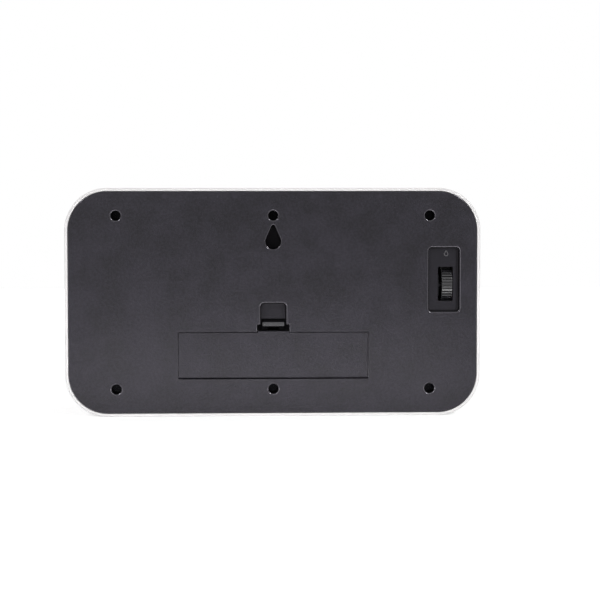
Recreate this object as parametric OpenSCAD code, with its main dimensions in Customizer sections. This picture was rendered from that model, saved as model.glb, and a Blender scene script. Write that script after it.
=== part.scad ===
// Flip clock with two leaf drums, seen in the photograph from behind.
// Millimetres. X runs to the right seen from the front, Y to the back, Z up.
// The origin is under the middle of the case, on the surface that it stands on.

/* [Case] */
// Overall width of the case
case_w = 249; // [244:1:275]
// Overall height of the case
case_h = 137; // [133:1:150]
// Overall depth of the case
case_d = 86; // [86:1:105]
// Radius of the case's four outer corners
corner_r = 25.5; // [18:0.5:30]
// Thickness of the case's wall
wall_t = 1.8; // [1.4:0.1:2.4]
// Width of the white frame round the face, seen from the front
bezel_w = 5; // [4:0.5:8]
// How far the face lies behind the front edge of the case
face_recess = 2.5; // [1.5:0.5:4]

/* [Face] */
// Thickness of the face plate
face_t = 2; // [1.5:0.5:3]
// Distance from the side of the case to the nearer window
side_room = 27; // [26.5:0.5:30]
// Distance between the two windows
window_gap = 11; // [11:0.5:14]
// Height of each window
window_h = 80; // [70:1:81]
// Radius of the windows' corners
window_r = 3; // [1:0.5:6]

/* [Rear cover] */
// Thickness of the rear cover
cover_t = 3; // [2.6:0.1:3.4]
// Distance from the side of the case to the outer columns of screws
screw_inset = 30.5; // [28:0.5:33]
// Distance from the middle height to each row of screws
screw_z = 52; // [51:0.5:53]
// Bore of the screw wells
well_d = 6; // [5.6:0.1:7]
// Depth of the screw wells
well_depth = 10; // [8:0.5:12]
// Diameter of the keyhole's round part
keyhole_d = 9.4; // [8:0.2:10]
// Diameter of the keyhole's rounded tip
keyhole_tip_d = 1.8; // [1.4:0.2:4]
// Distance from the keyhole's round part up to its tip's centre
keyhole_rise = 9; // [7:0.5:10]
// Height of the keyhole's round part over the middle of the clock
keyhole_z = 36.5; // [34:0.5:38]

/* [Setting wheel] */
// Distance from the side of the case to the middle of the wheel's pocket
pocket_inset = 21.8; // [20.5:0.1:23]
// Height of the pocket's middle over the middle of the clock
pocket_z = 13.5; // [10:0.5:16]
// Width of the pocket at the cover's face
pocket_w = 20.2; // [19:0.2:21]
// Height of the pocket at the cover's face
pocket_h = 40.2; // [36:0.2:44]
// Width of the rounded step round the pocket's floor
pocket_step = 1.8; // [1:0.1:2]
// Width of the slot that the wheel shows through
slot_w = 9.1; // [8:0.1:10]
// Height of the slot that the wheel shows through
slot_h = 20.6; // [18:0.2:23]
// Diameter of the setting wheel
wheel_d = 23; // [21:0.5:24]
// Width of the setting wheel
wheel_w = 6.4; // [5.6:0.1:7]
// Number of ribs round the setting wheel
wheel_ribs = 36; // [24:1:40]

/* [Batteries] */
// Diameter of one cell
cell_d = 26.2; // [25:0.1:26.4]
// Length of one cell
cell_l = 50; // [46:0.5:50.5]
// Height of the cells' axis under the middle of the clock
cell_drop = 32; // [31.5:0.5:32.5]
// Wall of the battery box
box_t = 1.4; // [1.2:0.1:1.6]
// Half width of the battery door
door_half_w = 56.8; // [56:0.1:58]
// Height of the battery door
door_h = 27.8; // [27.4:0.1:28.2]
// Half width of the tab at the top of the battery door
tab_half_w = 9.4; // [9:0.1:11]

/* [Leaf drums] */
// Radius at which the leaves are hinged
drum_r = 14.5; // [14.2:0.1:15]
// Thickness of one leaf
leaf_t = 0.1; // [0.08:0.01:0.1]
// Thickness of the drums' cheeks
cheek_t = 1.4; // [1.2:0.1:1.4]
// Diameter of the main shaft
shaft_d = 4; // [3:0.5:5]

/* [Frame] */
// Thickness of the frame's sheet metal
plate_t = 1.5; // [1.2:0.1:1.6]
// Diameter of the rods that tie the frame
rod_d = 5; // [4:0.5:5]
// Diameter of the motor's can
motor_d = 24; // [20:1:25]
// Length of the motor's can
motor_l = 10.6; // [8:0.2:10.6]

/* [Hidden] */

white = [0.9, 0.89, 0.88];
black = [0.17, 0.165, 0.18];
dark = [0.08, 0.08, 0.09];
steel = [0.72, 0.73, 0.75];
brass = [0.78, 0.62, 0.3];
card = [0.06, 0.06, 0.07];

// Fits
gap = 0.2;
run = 0.05;
hair = 0.01;
fine = 96;
round_fn = 48;

// The case's main planes and heights
y_front = -case_d / 2;
y_back = case_d / 2;
z_mid = case_h / 2;
y_cover = y_back - cover_t;
y_face = y_front + face_recess;

// Across the case: the windows, the columns of screws and the wheel's pocket
window_w = (case_w - window_gap) / 2 - side_room;
window_x = (window_w + window_gap) / 2;
screw_x = case_w / 2 - screw_inset;
pocket_x = case_w / 2 - pocket_inset;

// The screw wells and the bosses behind them
screw_d = 2.4;
screw_head_d = 5;
screw_head_h = 1.8;
screw_l = 14;
well_wall = 1.5;
well_floor = 2;
boss_d = 7;
boss_l = 18;
web_t = 2;
y_well = y_back - well_depth;
y_boss = y_well - well_floor;

// The leaves: each stands on its hinge at the front, then hangs
minutes = 60;
hour_cards = 48;
leaf_side = 1;
leaf_top = 2;
leaf_w = window_w - 2 * leaf_side;
leaf_l = window_h / 2 - leaf_top;
leaf_heel = 0.45;
ear_h = 0.5;
ear_l = 0.75;
face_to_leaf = 1.5;
axis_y = y_face + face_t + face_to_leaf + drum_r;
axis_z = z_mid;
cheek_rim = 1.2;
groove_w = 1;
groove_t = 0.8;
hub_wall = 2.5;
hub_d = shaft_d + 2 * hub_wall;
bush_wall = 1.5;
bush_d = shaft_d + 2 * bush_wall;
collar_t = 1.6;
cheek_room = 1;
x_in = window_x - leaf_w / 2 - gap;
x_out = window_x + leaf_w / 2 + gap;
x_plate = x_out + cheek_t + cheek_room;

// The frame
x_gears = x_plate + plate_t;
gear_t = 2;
gear_gap = 1;
x_near = x_gears + gear_gap;
x_far = x_near + gear_t + gear_gap;
clutch_t = 0.5;
x_gear_plate = x_far + gear_t + clutch_t + 1.1;
x_motor = x_gear_plate + plate_t;
rod_clear = 11.3;
rod_ring = norm([drum_r, leaf_l]) + rod_d / 2 + rod_clear;
rod_front_y = y_face + face_t + 5.5;
rod_rear_top = [axis_y + rod_ring * cos(46.5), axis_z + rod_ring * sin(46.5)];
rod_rear_low = [axis_y + rod_ring * cos(-61.5), axis_z + rod_ring * sin(-61.5)];
rod_front_top = [rod_front_y, axis_z + leaf_l + 12];
rod_front_low = [rod_front_y, axis_z - rod_ring];
rods = [rod_rear_top, rod_rear_low, rod_front_top, rod_front_low];
nut_t = 2.4;
nut_d = 6.2;
plate_rim = 4;
tab_z = 7;
tab_l = 9;
tab_w = 9;
tab_y = [axis_y - 7, axis_y + 20];
tab_screw_x = x_plate - tab_l / 2;

// Gear proportions
pressure = 25;
tip_k = 0.8;
root_k = 1.05;
tooth_k = 0.88;

// The hour train, in the middle between the drums
train_m1 = 0.57;
train_z1 = 12;
train_z2 = 48;
train_z3 = 10;
train_z4 = 60;
train_c = train_m1 * (train_z1 + train_z2) / 2;
train_m2 = 2 * train_c / (train_z3 + train_z4);
counter = [axis_y + train_c, axis_z];
centre_t = 1.5;
train_gap = 0.35;
x_train = centre_t / 2 + train_gap;
train_t = 1.8;

// The motor train, at the right seen from the front
drive_m = 0.5;
drive_z = 60;
mid_pinion_z = 10;
mid_z = 50;
motor_z = 10;
mid_angle = 30;
mid_c = drive_m * (drive_z + mid_pinion_z) / 2;
motor_c = drive_m * (mid_z + motor_z) / 2;
mid_axis = [axis_y + mid_c * cos(mid_angle), axis_z + mid_c * sin(mid_angle)];
motor_axis = [mid_axis[0] + motor_c, mid_axis[1]];
pin_d = 2;
terminal_out = 1.5;
terminal_x = 5;
terminal_h = 6;

// The setting train, at the left seen from the front
wheel_proud = 1;
wheel_drop = 0.9;
pocket_floor_t = 1.5;
slot_z = z_mid + pocket_z - 2.7;
slot_x = pocket_x + 1.1;
wheel_x = pocket_x + 1.9;
wheel_axis = [y_back - wheel_proud - wheel_d / 2, slot_z - wheel_drop];
set_z1 = 36;
set_z2 = 40;
set_z3 = 16;
set_dy = wheel_axis[0] - axis_y;
set_dz = wheel_axis[1] - axis_z;
set_c = sqrt(set_dy * set_dy + set_dz * set_dz);
set_angle = atan2(set_dz, set_dy);
set_m = 2 * set_c / (set_z1 + 2 * set_z2 + set_z3);
idler_c = set_m * (set_z1 + set_z2) / 2;
idler = [axis_y + idler_c * cos(set_angle), axis_z + idler_c * sin(set_angle)];
set_t = 2.6;
x_set = wheel_x + wheel_w / 2 + 0.8;
stud_d = 3;
clip_t = 0.8;

// The battery box and its door
cell_gap = 0.4;
cell_z = z_mid - cell_drop;
cell_r = cell_d / 2;
box_r = cell_r + cell_gap;
cell_y = y_cover - 0.5 - cell_r;
spring_room = 6.4;
contact_t = 0.6;
contact_w = 8;
contact_h = 18;
contact_bend = 2;
post_room = 2.2;
box_half_l = cell_l + (spring_room + post_room) / 2 + contact_t;
cells_x = (spring_room - post_room) / 2;
box_end = 3;
seam = 0.3;
door_back = 0.4;
door_t = cover_t - door_back;
door_r = door_t / 2;
door_z = cell_z - door_h / 2;
hinge_y = y_back - door_r;
hinge_z = door_z + door_r;
trunnion_d = 1.6;
trunnion_l = 2;
tab_rise = 0.9;
door_top = door_z + door_h;
box_top = cell_z + box_r + box_t;

// The latch over the door: a shelf on the door carries it
latch_half_w = 6.5;
latch_travel = 1.2;
shelf_t = 1.6;
shelf_in = 6.9;
shelf_y = y_back - shelf_in;
latch_t = 1.25;
latch_y = shelf_y - latch_t - run;
latch_foot = 1.9;
latch_foot_y = shelf_y + latch_foot;
latch_rise = 3.5;
latch_bar_z = door_top + latch_rise;
latch_bar_h = 2.6;
latch_bar_y = y_back - 2 * gap;
latch_hook = 1.2;
latch_top_z = latch_bar_z + latch_bar_h + latch_hook;
recess_half_w = 8.05;
recess_z = latch_top_z + 0.7;
recess_h = 10;
recess_depth = 5;
notch_top = latch_bar_z + latch_bar_h / 2;
latch_room_t = 1.5;
latch_room_y = latch_y - 0.8;

// The keyhole's pocket
key_room_w = 13;
key_room_t = 1.5;
key_room_depth = y_cover - y_boss - key_room_t - gap;
key_z = z_mid + keyhole_z;
key_tip_z = key_z + keyhole_rise;

// The circuit board on its posts, behind the minute drum
board_w = 60;
board_h = 28;
board_t = 1.6;
board_y = y_cover - 9;
board_x = 50;
board_z = z_mid + 28;
board_post_d = 5;
board_inset = 3.5;
board_screw_head_d = 4;
board_screw_head_h = 1.4;
chip_w = 12;
chip_h = 8;
chip_t = 2;
crystal_d = 3;
crystal_l = 8;
can_d = 6;
can_h = 7;

function side(a) = [cos(a), sin(a)];
function involute(a) = tan(a) * 180 / PI - a;
function flank(r, rb) = r > rb ? involute(acos(rb / r)) : 0;
function half_tooth(r, m, z) =
    90 / z * tooth_k + involute(pressure) - flank(r, m * z / 2 * cos(pressure));
function gear_radii(m, z) = [m * z / 2 - root_k * m, m * z / 2, m * z / 2 + tip_k * m];
// The turn that a gear needs to mesh with one at the angle a from it
function meshed(a, phase, z_one, z_two) =
    a + 180 + ((a - phase) * z_one / 360 - 0.5) * 360 / z_two;

counter_phase = meshed(0, 0, train_z1, train_z2);
hour_phase = meshed(180, counter_phase, train_z3, train_z4);
mid_phase = meshed(mid_angle, 0, drive_z, mid_pinion_z);
motor_phase = meshed(0, mid_phase, mid_z, motor_z);
idler_phase = meshed(set_angle, 0, set_z1, set_z2);
wheel_phase = meshed(set_angle, idler_phase, set_z2, set_z3);

module along_x(x0, x1) {
    translate([x0, 0, 0])
        rotate([90, 0, 90])
            linear_extrude(x1 - x0)
                children();
}

module along_y(y0, y1) {
    translate([0, y1, 0])
        rotate([90, 0, 0])
            linear_extrude(y1 - y0)
                children();
}

module rod_x(x0, x1, at, d) {
    translate([x0, at[0], at[1]])
        rotate([0, 90, 0])
            cylinder(d = d, h = x1 - x0, $fn = round_fn);
}

module rod_y(y0, y1, x, z, d) {
    translate([x, y0, z])
        rotate([-90, 0, 0])
            cylinder(d = d, h = y1 - y0, $fn = round_fn);
}

module rod_z(z0, z1, x, y, d) {
    translate([x, y, z0])
        cylinder(d = d, h = z1 - z0, $fn = round_fn);
}

module block(low, high) {
    translate(low)
        cube(high - low);
}

module rounded(w, h, r) {
    square([w - 2 * r, h], center = true);
    square([w, h - 2 * r], center = true);
    for (sx = [-1, 1], sz = [-1, 1])
        translate([sx * (w / 2 - r), sz * (h / 2 - r)])
            circle(r = r, $fn = fine);
}

module case_outline(inset) {
    translate([0, z_mid])
        rounded(case_w - 2 * inset, case_h - 2 * inset, corner_r - inset);
}

module rect(x0, x1, z0, z1) {
    translate([x0, z0])
        square([x1 - x0, z1 - z0]);
}

module gear_outline(m, z, phase) {
    radii = gear_radii(m, z);
    up = [for (r = radii) [r, -half_tooth(r, m, z)]];
    down = [for (i = [len(radii) - 1:-1:0]) [radii[i], half_tooth(radii[i], m, z)]];
    polygon([for (k = [0:z - 1], p = concat(up, down)) p[0] * side(p[1] + k * 360 / z + phase)]);
}

module gear(x0, x1, at, m, z, phase, bore) {
    along_x(x0, x1)
        translate(at)
            difference() {
                gear_outline(m, z, phase);
                circle(d = bore, $fn = round_fn);
            }
}

module at_screws() {
    for (x = [-screw_x, 0, screw_x], s = [-1, 1])
        translate([x, 0, z_mid + s * screw_z])
            rotate([0, s < 0 ? 180 : 0, 0])
                children();
}

module screw_boss() {
    difference() {
        union() {
            rod_y(y_boss - boss_l, y_boss, 0, 0, boss_d);
            block([-web_t / 2, y_boss - boss_l, 0],
                [web_t / 2, y_boss, z_mid - screw_z - wall_t + 0.4]);
        }
        rod_y(y_boss - boss_l - 1, y_boss + 1, 0, 0, screw_d);
    }
}

module front_case() {
    color(white)
        difference() {
            union() {
                difference() {
                    along_y(y_front, y_back) case_outline(0);
                    along_y(y_front - 1, y_back + 1) case_outline(bezel_w);
                    along_y(y_face, y_back + 1) case_outline(wall_t);
                }
                at_screws() screw_boss();
                for (s = [-1, 1], y = tab_y)
                    rod_z(wall_t / 2, tab_z, s * tab_screw_x, y, boss_d);
            }
            for (s = [-1, 1], y = tab_y)
                rod_z(wall_t, tab_z + 1, s * tab_screw_x, y, screw_d);
        }
}

module face_plate() {
    color(dark)
        along_y(y_face, y_face + face_t)
            difference() {
                case_outline(wall_t + gap);
                for (s = [-1, 1])
                    translate([s * window_x, z_mid])
                        rounded(window_w, window_h, window_r);
            }
}

// The straight sides of the keyhole touch its two rounds
module keyhole_outline() {
    big = keyhole_d / 2;
    tip = keyhole_tip_d / 2;
    lean = asin((big - tip) / keyhole_rise);
    right = side(lean);
    translate([0, key_z]) {
        circle(r = big, $fn = fine);
        translate([0, keyhole_rise]) circle(r = tip, $fn = fine);
        polygon([big * right, [0, keyhole_rise] + tip * right,
            [-tip * right[0], keyhole_rise + tip * right[1]],
            [-big * right[0], big * right[1]]]);
    }
}

module key_room(grow, y0, y1) {
    block([-key_room_w / 2 - grow, y0, key_z - keyhole_d / 2 - 1.5 - grow],
        [key_room_w / 2 + grow, y1, key_tip_z + 3 + grow]);
}

module latch_room(grow, y0, y1) {
    block([-tab_half_w - seam - grow, y0, box_top],
        [tab_half_w + seam + grow, y1, recess_z + grow]);
}

module recess_room(grow, y0, y1) {
    block([-recess_half_w - grow, y0, recess_z - 1],
        [recess_half_w + grow, y1, recess_z + recess_h + grow]);
}

module cover_cutouts() {
    rect(-door_half_w - seam, door_half_w + seam, door_z - seam, door_top + seam);
    rect(-tab_half_w - seam, tab_half_w + seam, door_top, notch_top);
    rect(-recess_half_w, recess_half_w, notch_top - 1, recess_z + recess_h - 3);
    translate([0, recess_z + recess_h - 5])
        rounded(2 * recess_half_w, 10, 3);
}

module rear_cover() {
    color(black)
        difference() {
            union() {
                along_y(y_cover, y_back) case_outline(wall_t + gap);
                at_screws() rod_y(y_boss, y_cover + 1, 0, 0, well_d + 2 * well_wall);
                block([-pocket_x - pocket_w / 2, y_cover - pocket_floor_t, z_mid + pocket_z - pocket_h / 2],
                    [-pocket_x + pocket_w / 2, y_cover + 1, z_mid + pocket_z + pocket_h / 2]);
                difference() {
                    key_room(key_room_t, y_cover - key_room_depth - key_room_t, y_cover + 1);
                    key_room(0, y_cover - key_room_depth, y_cover);
                }
                difference() {
                    union() {
                        latch_room(latch_room_t, latch_room_y - latch_room_t, y_cover + 1);
                        recess_room(latch_room_t, y_back - recess_depth - latch_room_t, y_cover + 1);
                    }
                    latch_room(0, latch_room_y, y_cover + 2);
                    recess_room(0, y_back - recess_depth, y_cover + 2);
                }
                for (sx = [-1, 1], sz = [-1, 1])
                    rod_y(board_y + board_t, y_cover + 1, board_x + sx * (board_w / 2 - board_inset),
                        board_z + sz * (board_h / 2 - board_inset), board_post_d);
            }
            along_y(y_cover - hair, y_back + 1) cover_cutouts();
            along_y(y_cover - 1, y_back + 1) keyhole_outline();
            at_screws() {
                rod_y(y_well, y_back + 1, 0, 0, well_d);
                rod_y(y_boss - 1, y_back, 0, 0, screw_d + 2 * gap);
                translate([0, y_back - 0.6, 0])
                    rotate([-90, 0, 0])
                        cylinder(d1 = well_d - 0.01, d2 = well_d + 1.4, h = 0.7, $fn = round_fn);
            }
            translate([-pocket_x, 0, z_mid + pocket_z]) {
                along_y(y_back - 1.2, y_back + 1) rounded(pocket_w, pocket_h, 2.4);
                along_y(y_cover, y_back + 1)
                    rounded(pocket_w - 2 * pocket_step, pocket_h - 2 * pocket_step, 1.6);
            }
            along_y(y_cover - pocket_floor_t - 1, y_cover + 1)
                rect(-slot_x - slot_w / 2, -slot_x + slot_w / 2, slot_z - slot_h / 2, slot_z + slot_h / 2);
            for (s = [-1, 1])
                hinge_seat(s);
            for (sx = [-1, 1], sz = [-1, 1])
                rod_y(board_y, y_cover - 1, board_x + sx * (board_w / 2 - board_inset),
                    board_z + sz * (board_h / 2 - board_inset), screw_d);
        }
}

// A seat for one trunnion of the door, open to the inside
module hinge_seat(s) {
    x0 = s * (door_half_w + seam + trunnion_l / 2);
    translate([x0, 0, 0])
        along_x(-trunnion_l / 2 - 0.2, trunnion_l / 2 + 0.2) {
            translate([hinge_y, hinge_z]) circle(d = trunnion_d + 4 * run, $fn = round_fn);
            translate([y_cover - 1, hinge_z - trunnion_d / 2 - 2 * run])
                square([hinge_y - y_cover + 1, trunnion_d + 4 * run]);
        }
}

module case_screws() {
    color(steel)
        at_screws() {
            rod_y(y_well - screw_l, y_well, 0, 0, screw_d);
            difference() {
                rod_y(y_well, y_well + screw_head_h, 0, 0, screw_head_d);
                for (a = [0, 90])
                    rotate([0, a, 0])
                        block([-1.4, y_well + 0.7, -0.35], [1.4, y_well + screw_head_h + 1, 0.35]);
            }
        }
}

module trough(r) {
    intersection() {
        union() {
            translate([cell_y, cell_z]) circle(r = r, $fn = fine);
            translate([cell_y, cell_z - r]) square([y_cover - cell_y, 2 * r]);
        }
        translate([cell_y - r - 1, cell_z - r - 1]) square([y_cover - cell_y + r + 1, 2 * r + 2]);
    }
}

module battery_box() {
    color(black)
        difference() {
            along_x(-box_half_l - box_end, box_half_l + box_end) trough(box_r + box_t);
            along_x(-box_half_l, box_half_l) trough(box_r);
            along_x(-box_half_l, box_half_l)
                translate([y_cover - 1, cell_z - box_r]) square([2, 2 * box_r]);
            block([-tab_half_w - seam, latch_room_y, cell_z], [tab_half_w + seam, y_cover + 1, box_top + 1]);
        }
}

module cell(x0) {
    rod_x(x0, x0 + cell_l - 1.5, [cell_y, cell_z], cell_d);
    rod_x(x0 + cell_l - 1.5, x0 + cell_l, [cell_y, cell_z], 8);
}

module battery_left() {
    color([0.75, 0.74, 0.7]) cell(cells_x - cell_l);
}

module battery_right() {
    color([0.75, 0.74, 0.7]) cell(cells_x);
}

// A bent strip that presses on the first cell
module negative_contact() {
    x = -box_half_l;
    tip = cells_x - cell_l;
    low = cell_z - contact_h / 2;
    high = cell_z + contact_h / 2;
    color(steel)
        along_y(cell_y - contact_w / 2, cell_y + contact_w / 2)
            polygon([[x, low], [x + contact_t, low], [x + contact_t, high - contact_bend],
                [tip - contact_t, cell_z + contact_bend / 2], [tip - contact_t, cell_z - contact_w / 3],
                [tip, cell_z - contact_w / 3], [tip, cell_z + 0.7 * contact_bend],
                [x + contact_t, high], [x, high]]);
}

module positive_contact() {
    x = box_half_l;
    half = contact_h / 2;
    color(steel) {
        block([x - contact_t, cell_y - half, cell_z - half], [x, cell_y + half - contact_bend, cell_z + half]);
        along_y(cell_y - contact_w / 2, cell_y + contact_w / 2)
            polygon([[x - contact_t + hair, cell_z - contact_h / 3], [x - contact_t - post_room, cell_z - half / 3],
                [x - contact_t - post_room, cell_z + half / 3], [x - contact_t + hair, cell_z + contact_h / 3]]);
    }
}

module door_profile() {
    translate([hinge_y, hinge_z]) circle(r = door_r, $fn = round_fn);
    rect(y_back - door_t, y_back, hinge_z, door_top);
}

module battery_door() {
    color(black) {
        along_x(-door_half_w, door_half_w) door_profile();
        block([-tab_half_w, y_back - door_t, door_top - door_r], [tab_half_w, y_back, door_top + tab_rise]);
        block([-tab_half_w + gap, shelf_y, door_top + tab_rise - shelf_t],
            [tab_half_w - gap, y_back - door_r, door_top + tab_rise]);
        rod_x(-door_half_w - trunnion_l, door_half_w + trunnion_l, [hinge_y, hinge_z], trunnion_d);
    }
}

module door_latch() {
    shelf_low = door_top + tab_rise - shelf_t;
    color([0.5, 0.5, 0.53])
        along_x(-latch_half_w, latch_half_w) {
            rect(latch_y, latch_y + latch_t, shelf_low - latch_t, latch_top_z);
            rect(latch_y, latch_foot_y, shelf_low - latch_t, shelf_low);
            rect(latch_y, latch_bar_y, latch_bar_z, latch_bar_z + latch_bar_h);
        }
}

// A folded strip between the door's shelf and the latch's bar
module latch_spring() {
    low = door_top + tab_rise;
    high = latch_bar_z;
    y0 = shelf_y + latch_room_t / 2;
    y1 = y_back - door_t - 3 * gap;
    t = latch_bar_h / 8;
    color(steel)
        along_x(-latch_half_w / 2, latch_half_w / 2)
            polygon([[y0, low], [y1, low], [y1, low + t], [y0 + 2 * t, (low + high) / 2], [y1, high - t],
                [y1, high], [y0, high], [y0, high - t], [y1 - 4 * t, high - t],
                [y0 - t, (low + high) / 2], [y1 - 4 * t, low + t], [y0, low + t]]);
}

module plate_outline(rear) {
    difference() {
        union() {
            polygon(concat(
                [rod_front_low + plate_rim * [-1, -1], rod_rear_low + plate_rim * [1.2, -1],
                    rod_rear_low + plate_rim * [1.2, 1.5], [axis_y, axis_z] + drum_r * [1.1, -1.4]],
                rear,
                [rod_rear_top + plate_rim * [1.2, -0.8], rod_rear_top + plate_rim * [1.2, 1.2],
                    rod_front_top + plate_rim * [1.2, 1], rod_front_top + plate_rim * [-1, 1]]));
            rect(tab_y[0] - tab_w / 2, tab_y[0] + tab_w / 2, tab_z, rod_front_low[1]);
            rect(tab_y[1] - tab_w / 2, tab_y[1] + tab_w / 2, tab_z, rod_rear_low[1]);
        }
        translate([axis_y, axis_z]) circle(d = bush_d, $fn = round_fn);
        for (r = rods)
            translate(r) circle(d = rod_d - 2, $fn = round_fn);
    }
}

module tabs(s) {
    for (y = tab_y)
        difference() {
            block([s > 0 ? x_plate - tab_l : -x_plate, y - tab_w / 2, tab_z],
                [s > 0 ? x_plate : -x_plate + tab_l, y + tab_w / 2, tab_z + plate_t]);
            rod_z(tab_z - 1, tab_z + plate_t + 1, s * tab_screw_x, y, screw_d + gap);
        }
}

module left_plate() {
    color(steel) {
        difference() {
            along_x(-x_plate - plate_t, -x_plate)
                plate_outline([[axis_y, axis_z] + drum_r * [1.8, -0.4], wheel_axis + plate_rim * [0.75, -1.5],
                    wheel_axis + plate_rim * [0.75, 1.5], [axis_y, axis_z] + drum_r * [2.1, 1.5]]);
            rod_x(-x_plate - plate_t - 1, -x_plate + 1, idler, stud_d);
            rod_x(-x_plate - plate_t - 1, -x_plate + 1, wheel_axis, stud_d);
        }
        tabs(-1);
    }
}

module right_plate() {
    color(steel) {
        difference() {
            along_x(x_plate, x_plate + plate_t)
                plate_outline([pillars[2] + plate_rim * [1.2, -1.2], pillars[3] + plate_rim * [1.2, 1.2]]);
            rod_x(x_plate - 1, x_plate + plate_t + 1, mid_axis, pin_d);
            rod_x(x_plate - 1, x_plate + plate_t + 1, motor_axis, pin_d + 2);
            for (p = pillars)
                rod_x(x_plate - 1, x_plate + plate_t + 1, p, screw_d);
        }
        tabs(1);
    }
}

pillar_d = 4.5;
pillar_room = motor_d / 2 + pillar_d / 2 + 4;
pillars = [[axis_y - rod_d, axis_z + 1.9 * drum_r], [axis_y - rod_d, axis_z - 1.7 * drum_r],
    motor_axis + [motor_d / 4, -pillar_room], motor_axis + [motor_d / 4, pillar_room]];

module gear_plate() {
    color(steel)
        along_x(x_gear_plate, x_gear_plate + plate_t)
            difference() {
                polygon([pillars[1] + plate_rim * [-1, -1], pillars[1] + plate_rim * [1.5, -1],
                    pillars[2] + plate_rim * [1.2, -1], pillars[3] + plate_rim * [1.2, 1],
                    pillars[0] + plate_rim * [1.5, 1.2], pillars[0] + plate_rim * [-1, 1.2]]);
                translate([axis_y, axis_z]) circle(d = bush_d, $fn = round_fn);
                translate(mid_axis) circle(d = pin_d, $fn = round_fn);
                translate(motor_axis) circle(d = pin_d + 2, $fn = round_fn);
                for (p = pillars)
                    translate(p) circle(d = screw_d, $fn = round_fn);
            }
}

module gear_pillars() {
    color(brass)
        for (p = pillars) {
            rod_x(x_gears, x_gear_plate, p, pillar_d);
            rod_x(x_plate, x_gear_plate + plate_t, p, screw_d);
            rod_x(x_gear_plate + plate_t, x_gear_plate + 1.8 * plate_t, p, 0.9 * pillar_d);
        }
}

module centre_plate() {
    color(steel)
        along_x(-centre_t / 2, centre_t / 2)
            difference() {
                polygon([rod_rear_low + plate_rim * [-1.2, -1], rod_rear_low + plate_rim * [1.2, -1],
                    rod_rear_low + plate_rim * [1.2, 1.5], counter + plate_rim * [1.7, -1.5],
                    counter + plate_rim * [1.7, 2], rod_rear_top + plate_rim * [1.2, -1.5],
                    rod_rear_top + plate_rim * [1.2, 1.2], rod_rear_top + plate_rim * [-1.5, 1.2],
                    [axis_y - bush_d, axis_z + bush_d], [axis_y - bush_d, axis_z - bush_d],
                    counter + plate_rim * [-2, -3.5]]);
                translate([axis_y, axis_z]) circle(d = bush_d, $fn = round_fn);
                translate(counter) circle(d = pin_d, $fn = round_fn);
                for (r = [rod_rear_top, rod_rear_low])
                    translate(r) circle(d = rod_d, $fn = round_fn);
            }
}

module tie_rods() {
    color(steel)
        for (r = rods) {
            rod_x(-x_plate, x_plate, r, rod_d);
            rod_x(-x_plate - plate_t - nut_t, x_plate + plate_t + nut_t, r, rod_d - 2);
        }
}

module rod_nuts() {
    color(brass)
        for (r = rods, s = [-1, 1])
            difference() {
                translate([s > 0 ? x_gears : -x_gears - nut_t, r[0], r[1]])
                    rotate([0, 90, 0])
                        cylinder(d = nut_d, h = nut_t, $fn = 6);
                rod_x(s > 0 ? x_plate : -x_gears - nut_t - 1, s > 0 ? x_gears + nut_t + 1 : -x_plate, r, rod_d - 2);
            }
}

module frame_screws() {
    color(steel)
        for (s = [-1, 1], y = tab_y) {
            rod_z(wall_t + 2 * gap, tab_z + plate_t, s * tab_screw_x, y, screw_d);
            rod_z(tab_z + plate_t, tab_z + plate_t + screw_head_h, s * tab_screw_x, y, screw_head_d);
        }
}

module bush(x0, x1) {
    difference() {
        rod_x(x0, x1, [axis_y, axis_z], bush_d);
        rod_x(x0 - 1, x1 + 1, [axis_y, axis_z], shaft_d + 2 * run);
    }
}

module shaft_bushes() {
    color(brass) {
        bush(-x_plate - plate_t, -x_plate);
        bush(-centre_t / 2, centre_t / 2);
        bush(x_plate, x_plate + plate_t);
        bush(x_gear_plate, x_gear_plate + plate_t);
    }
}

// A sprung finger on the upper front rod: its tip stops the leaf in front
module finger(x, count) {
    tip_z = axis_z + drum_r * sin(180 / count) + leaf_l + 0.35;
    tip_y = axis_y - drum_r * cos(180 / count);
    r = rod_front_top;
    color(steel)
        along_x(x - 3, x + 3) {
            difference() {
                translate(r) circle(d = rod_d + 1.6, $fn = round_fn);
                translate(r) circle(d = rod_d, $fn = round_fn);
            }
            polygon([r + [-rod_d / 2 - 0.6, 0.8], r + [-rod_d / 2 - 0.6, -2],
                [tip_y - 0.9, tip_z + 3], [tip_y - 0.9, tip_z], [tip_y - 0.4, tip_z],
                [tip_y - 0.3, tip_z + 2.6], r + [-rod_d / 2 - 0.05, -2.4], r + [-rod_d / 2 - 0.05, 0.8]]);
        }
}

module minute_finger() {
    finger(window_x, minutes);
}

module hour_finger() {
    finger(-window_x, hour_cards);
}

// The place and lean of the leaf at the angle a round its drum, from the front over the top
module at_hinge(x, a, count) {
    half = 180 / count;
    lean = a < 180 ? a - half : 180;
    translate([x, axis_y - drum_r * cos(a), axis_z + drum_r * sin(a)])
        rotate([-lean, 0, 0])
            children();
}

module leaf() {
    translate([0, leaf_t / 2, 0])
        rotate([90, 0, 0])
            linear_extrude(leaf_t) {
                rect(-leaf_w / 2, leaf_w / 2, -leaf_heel, leaf_l);
                rect(-leaf_w / 2 - gap - ear_l, leaf_w / 2 + gap + ear_l, -ear_h / 2, ear_h / 2);
            }
}

module leaf_pack(x, count) {
    color(card)
        for (i = [1:count - 1])
            at_hinge(x, 180 / count + i * 360 / count, count) leaf();
}

module minute_leaves() {
    leaf_pack(window_x, minutes);
}

module hour_leaves() {
    leaf_pack(-window_x, hour_cards);
}

module minute_leaf() {
    color(card) at_hinge(window_x, 180 / minutes, minutes) leaf();
}

module hour_leaf() {
    color(card) at_hinge(-window_x, 180 / hour_cards, hour_cards) leaf();
}

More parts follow.
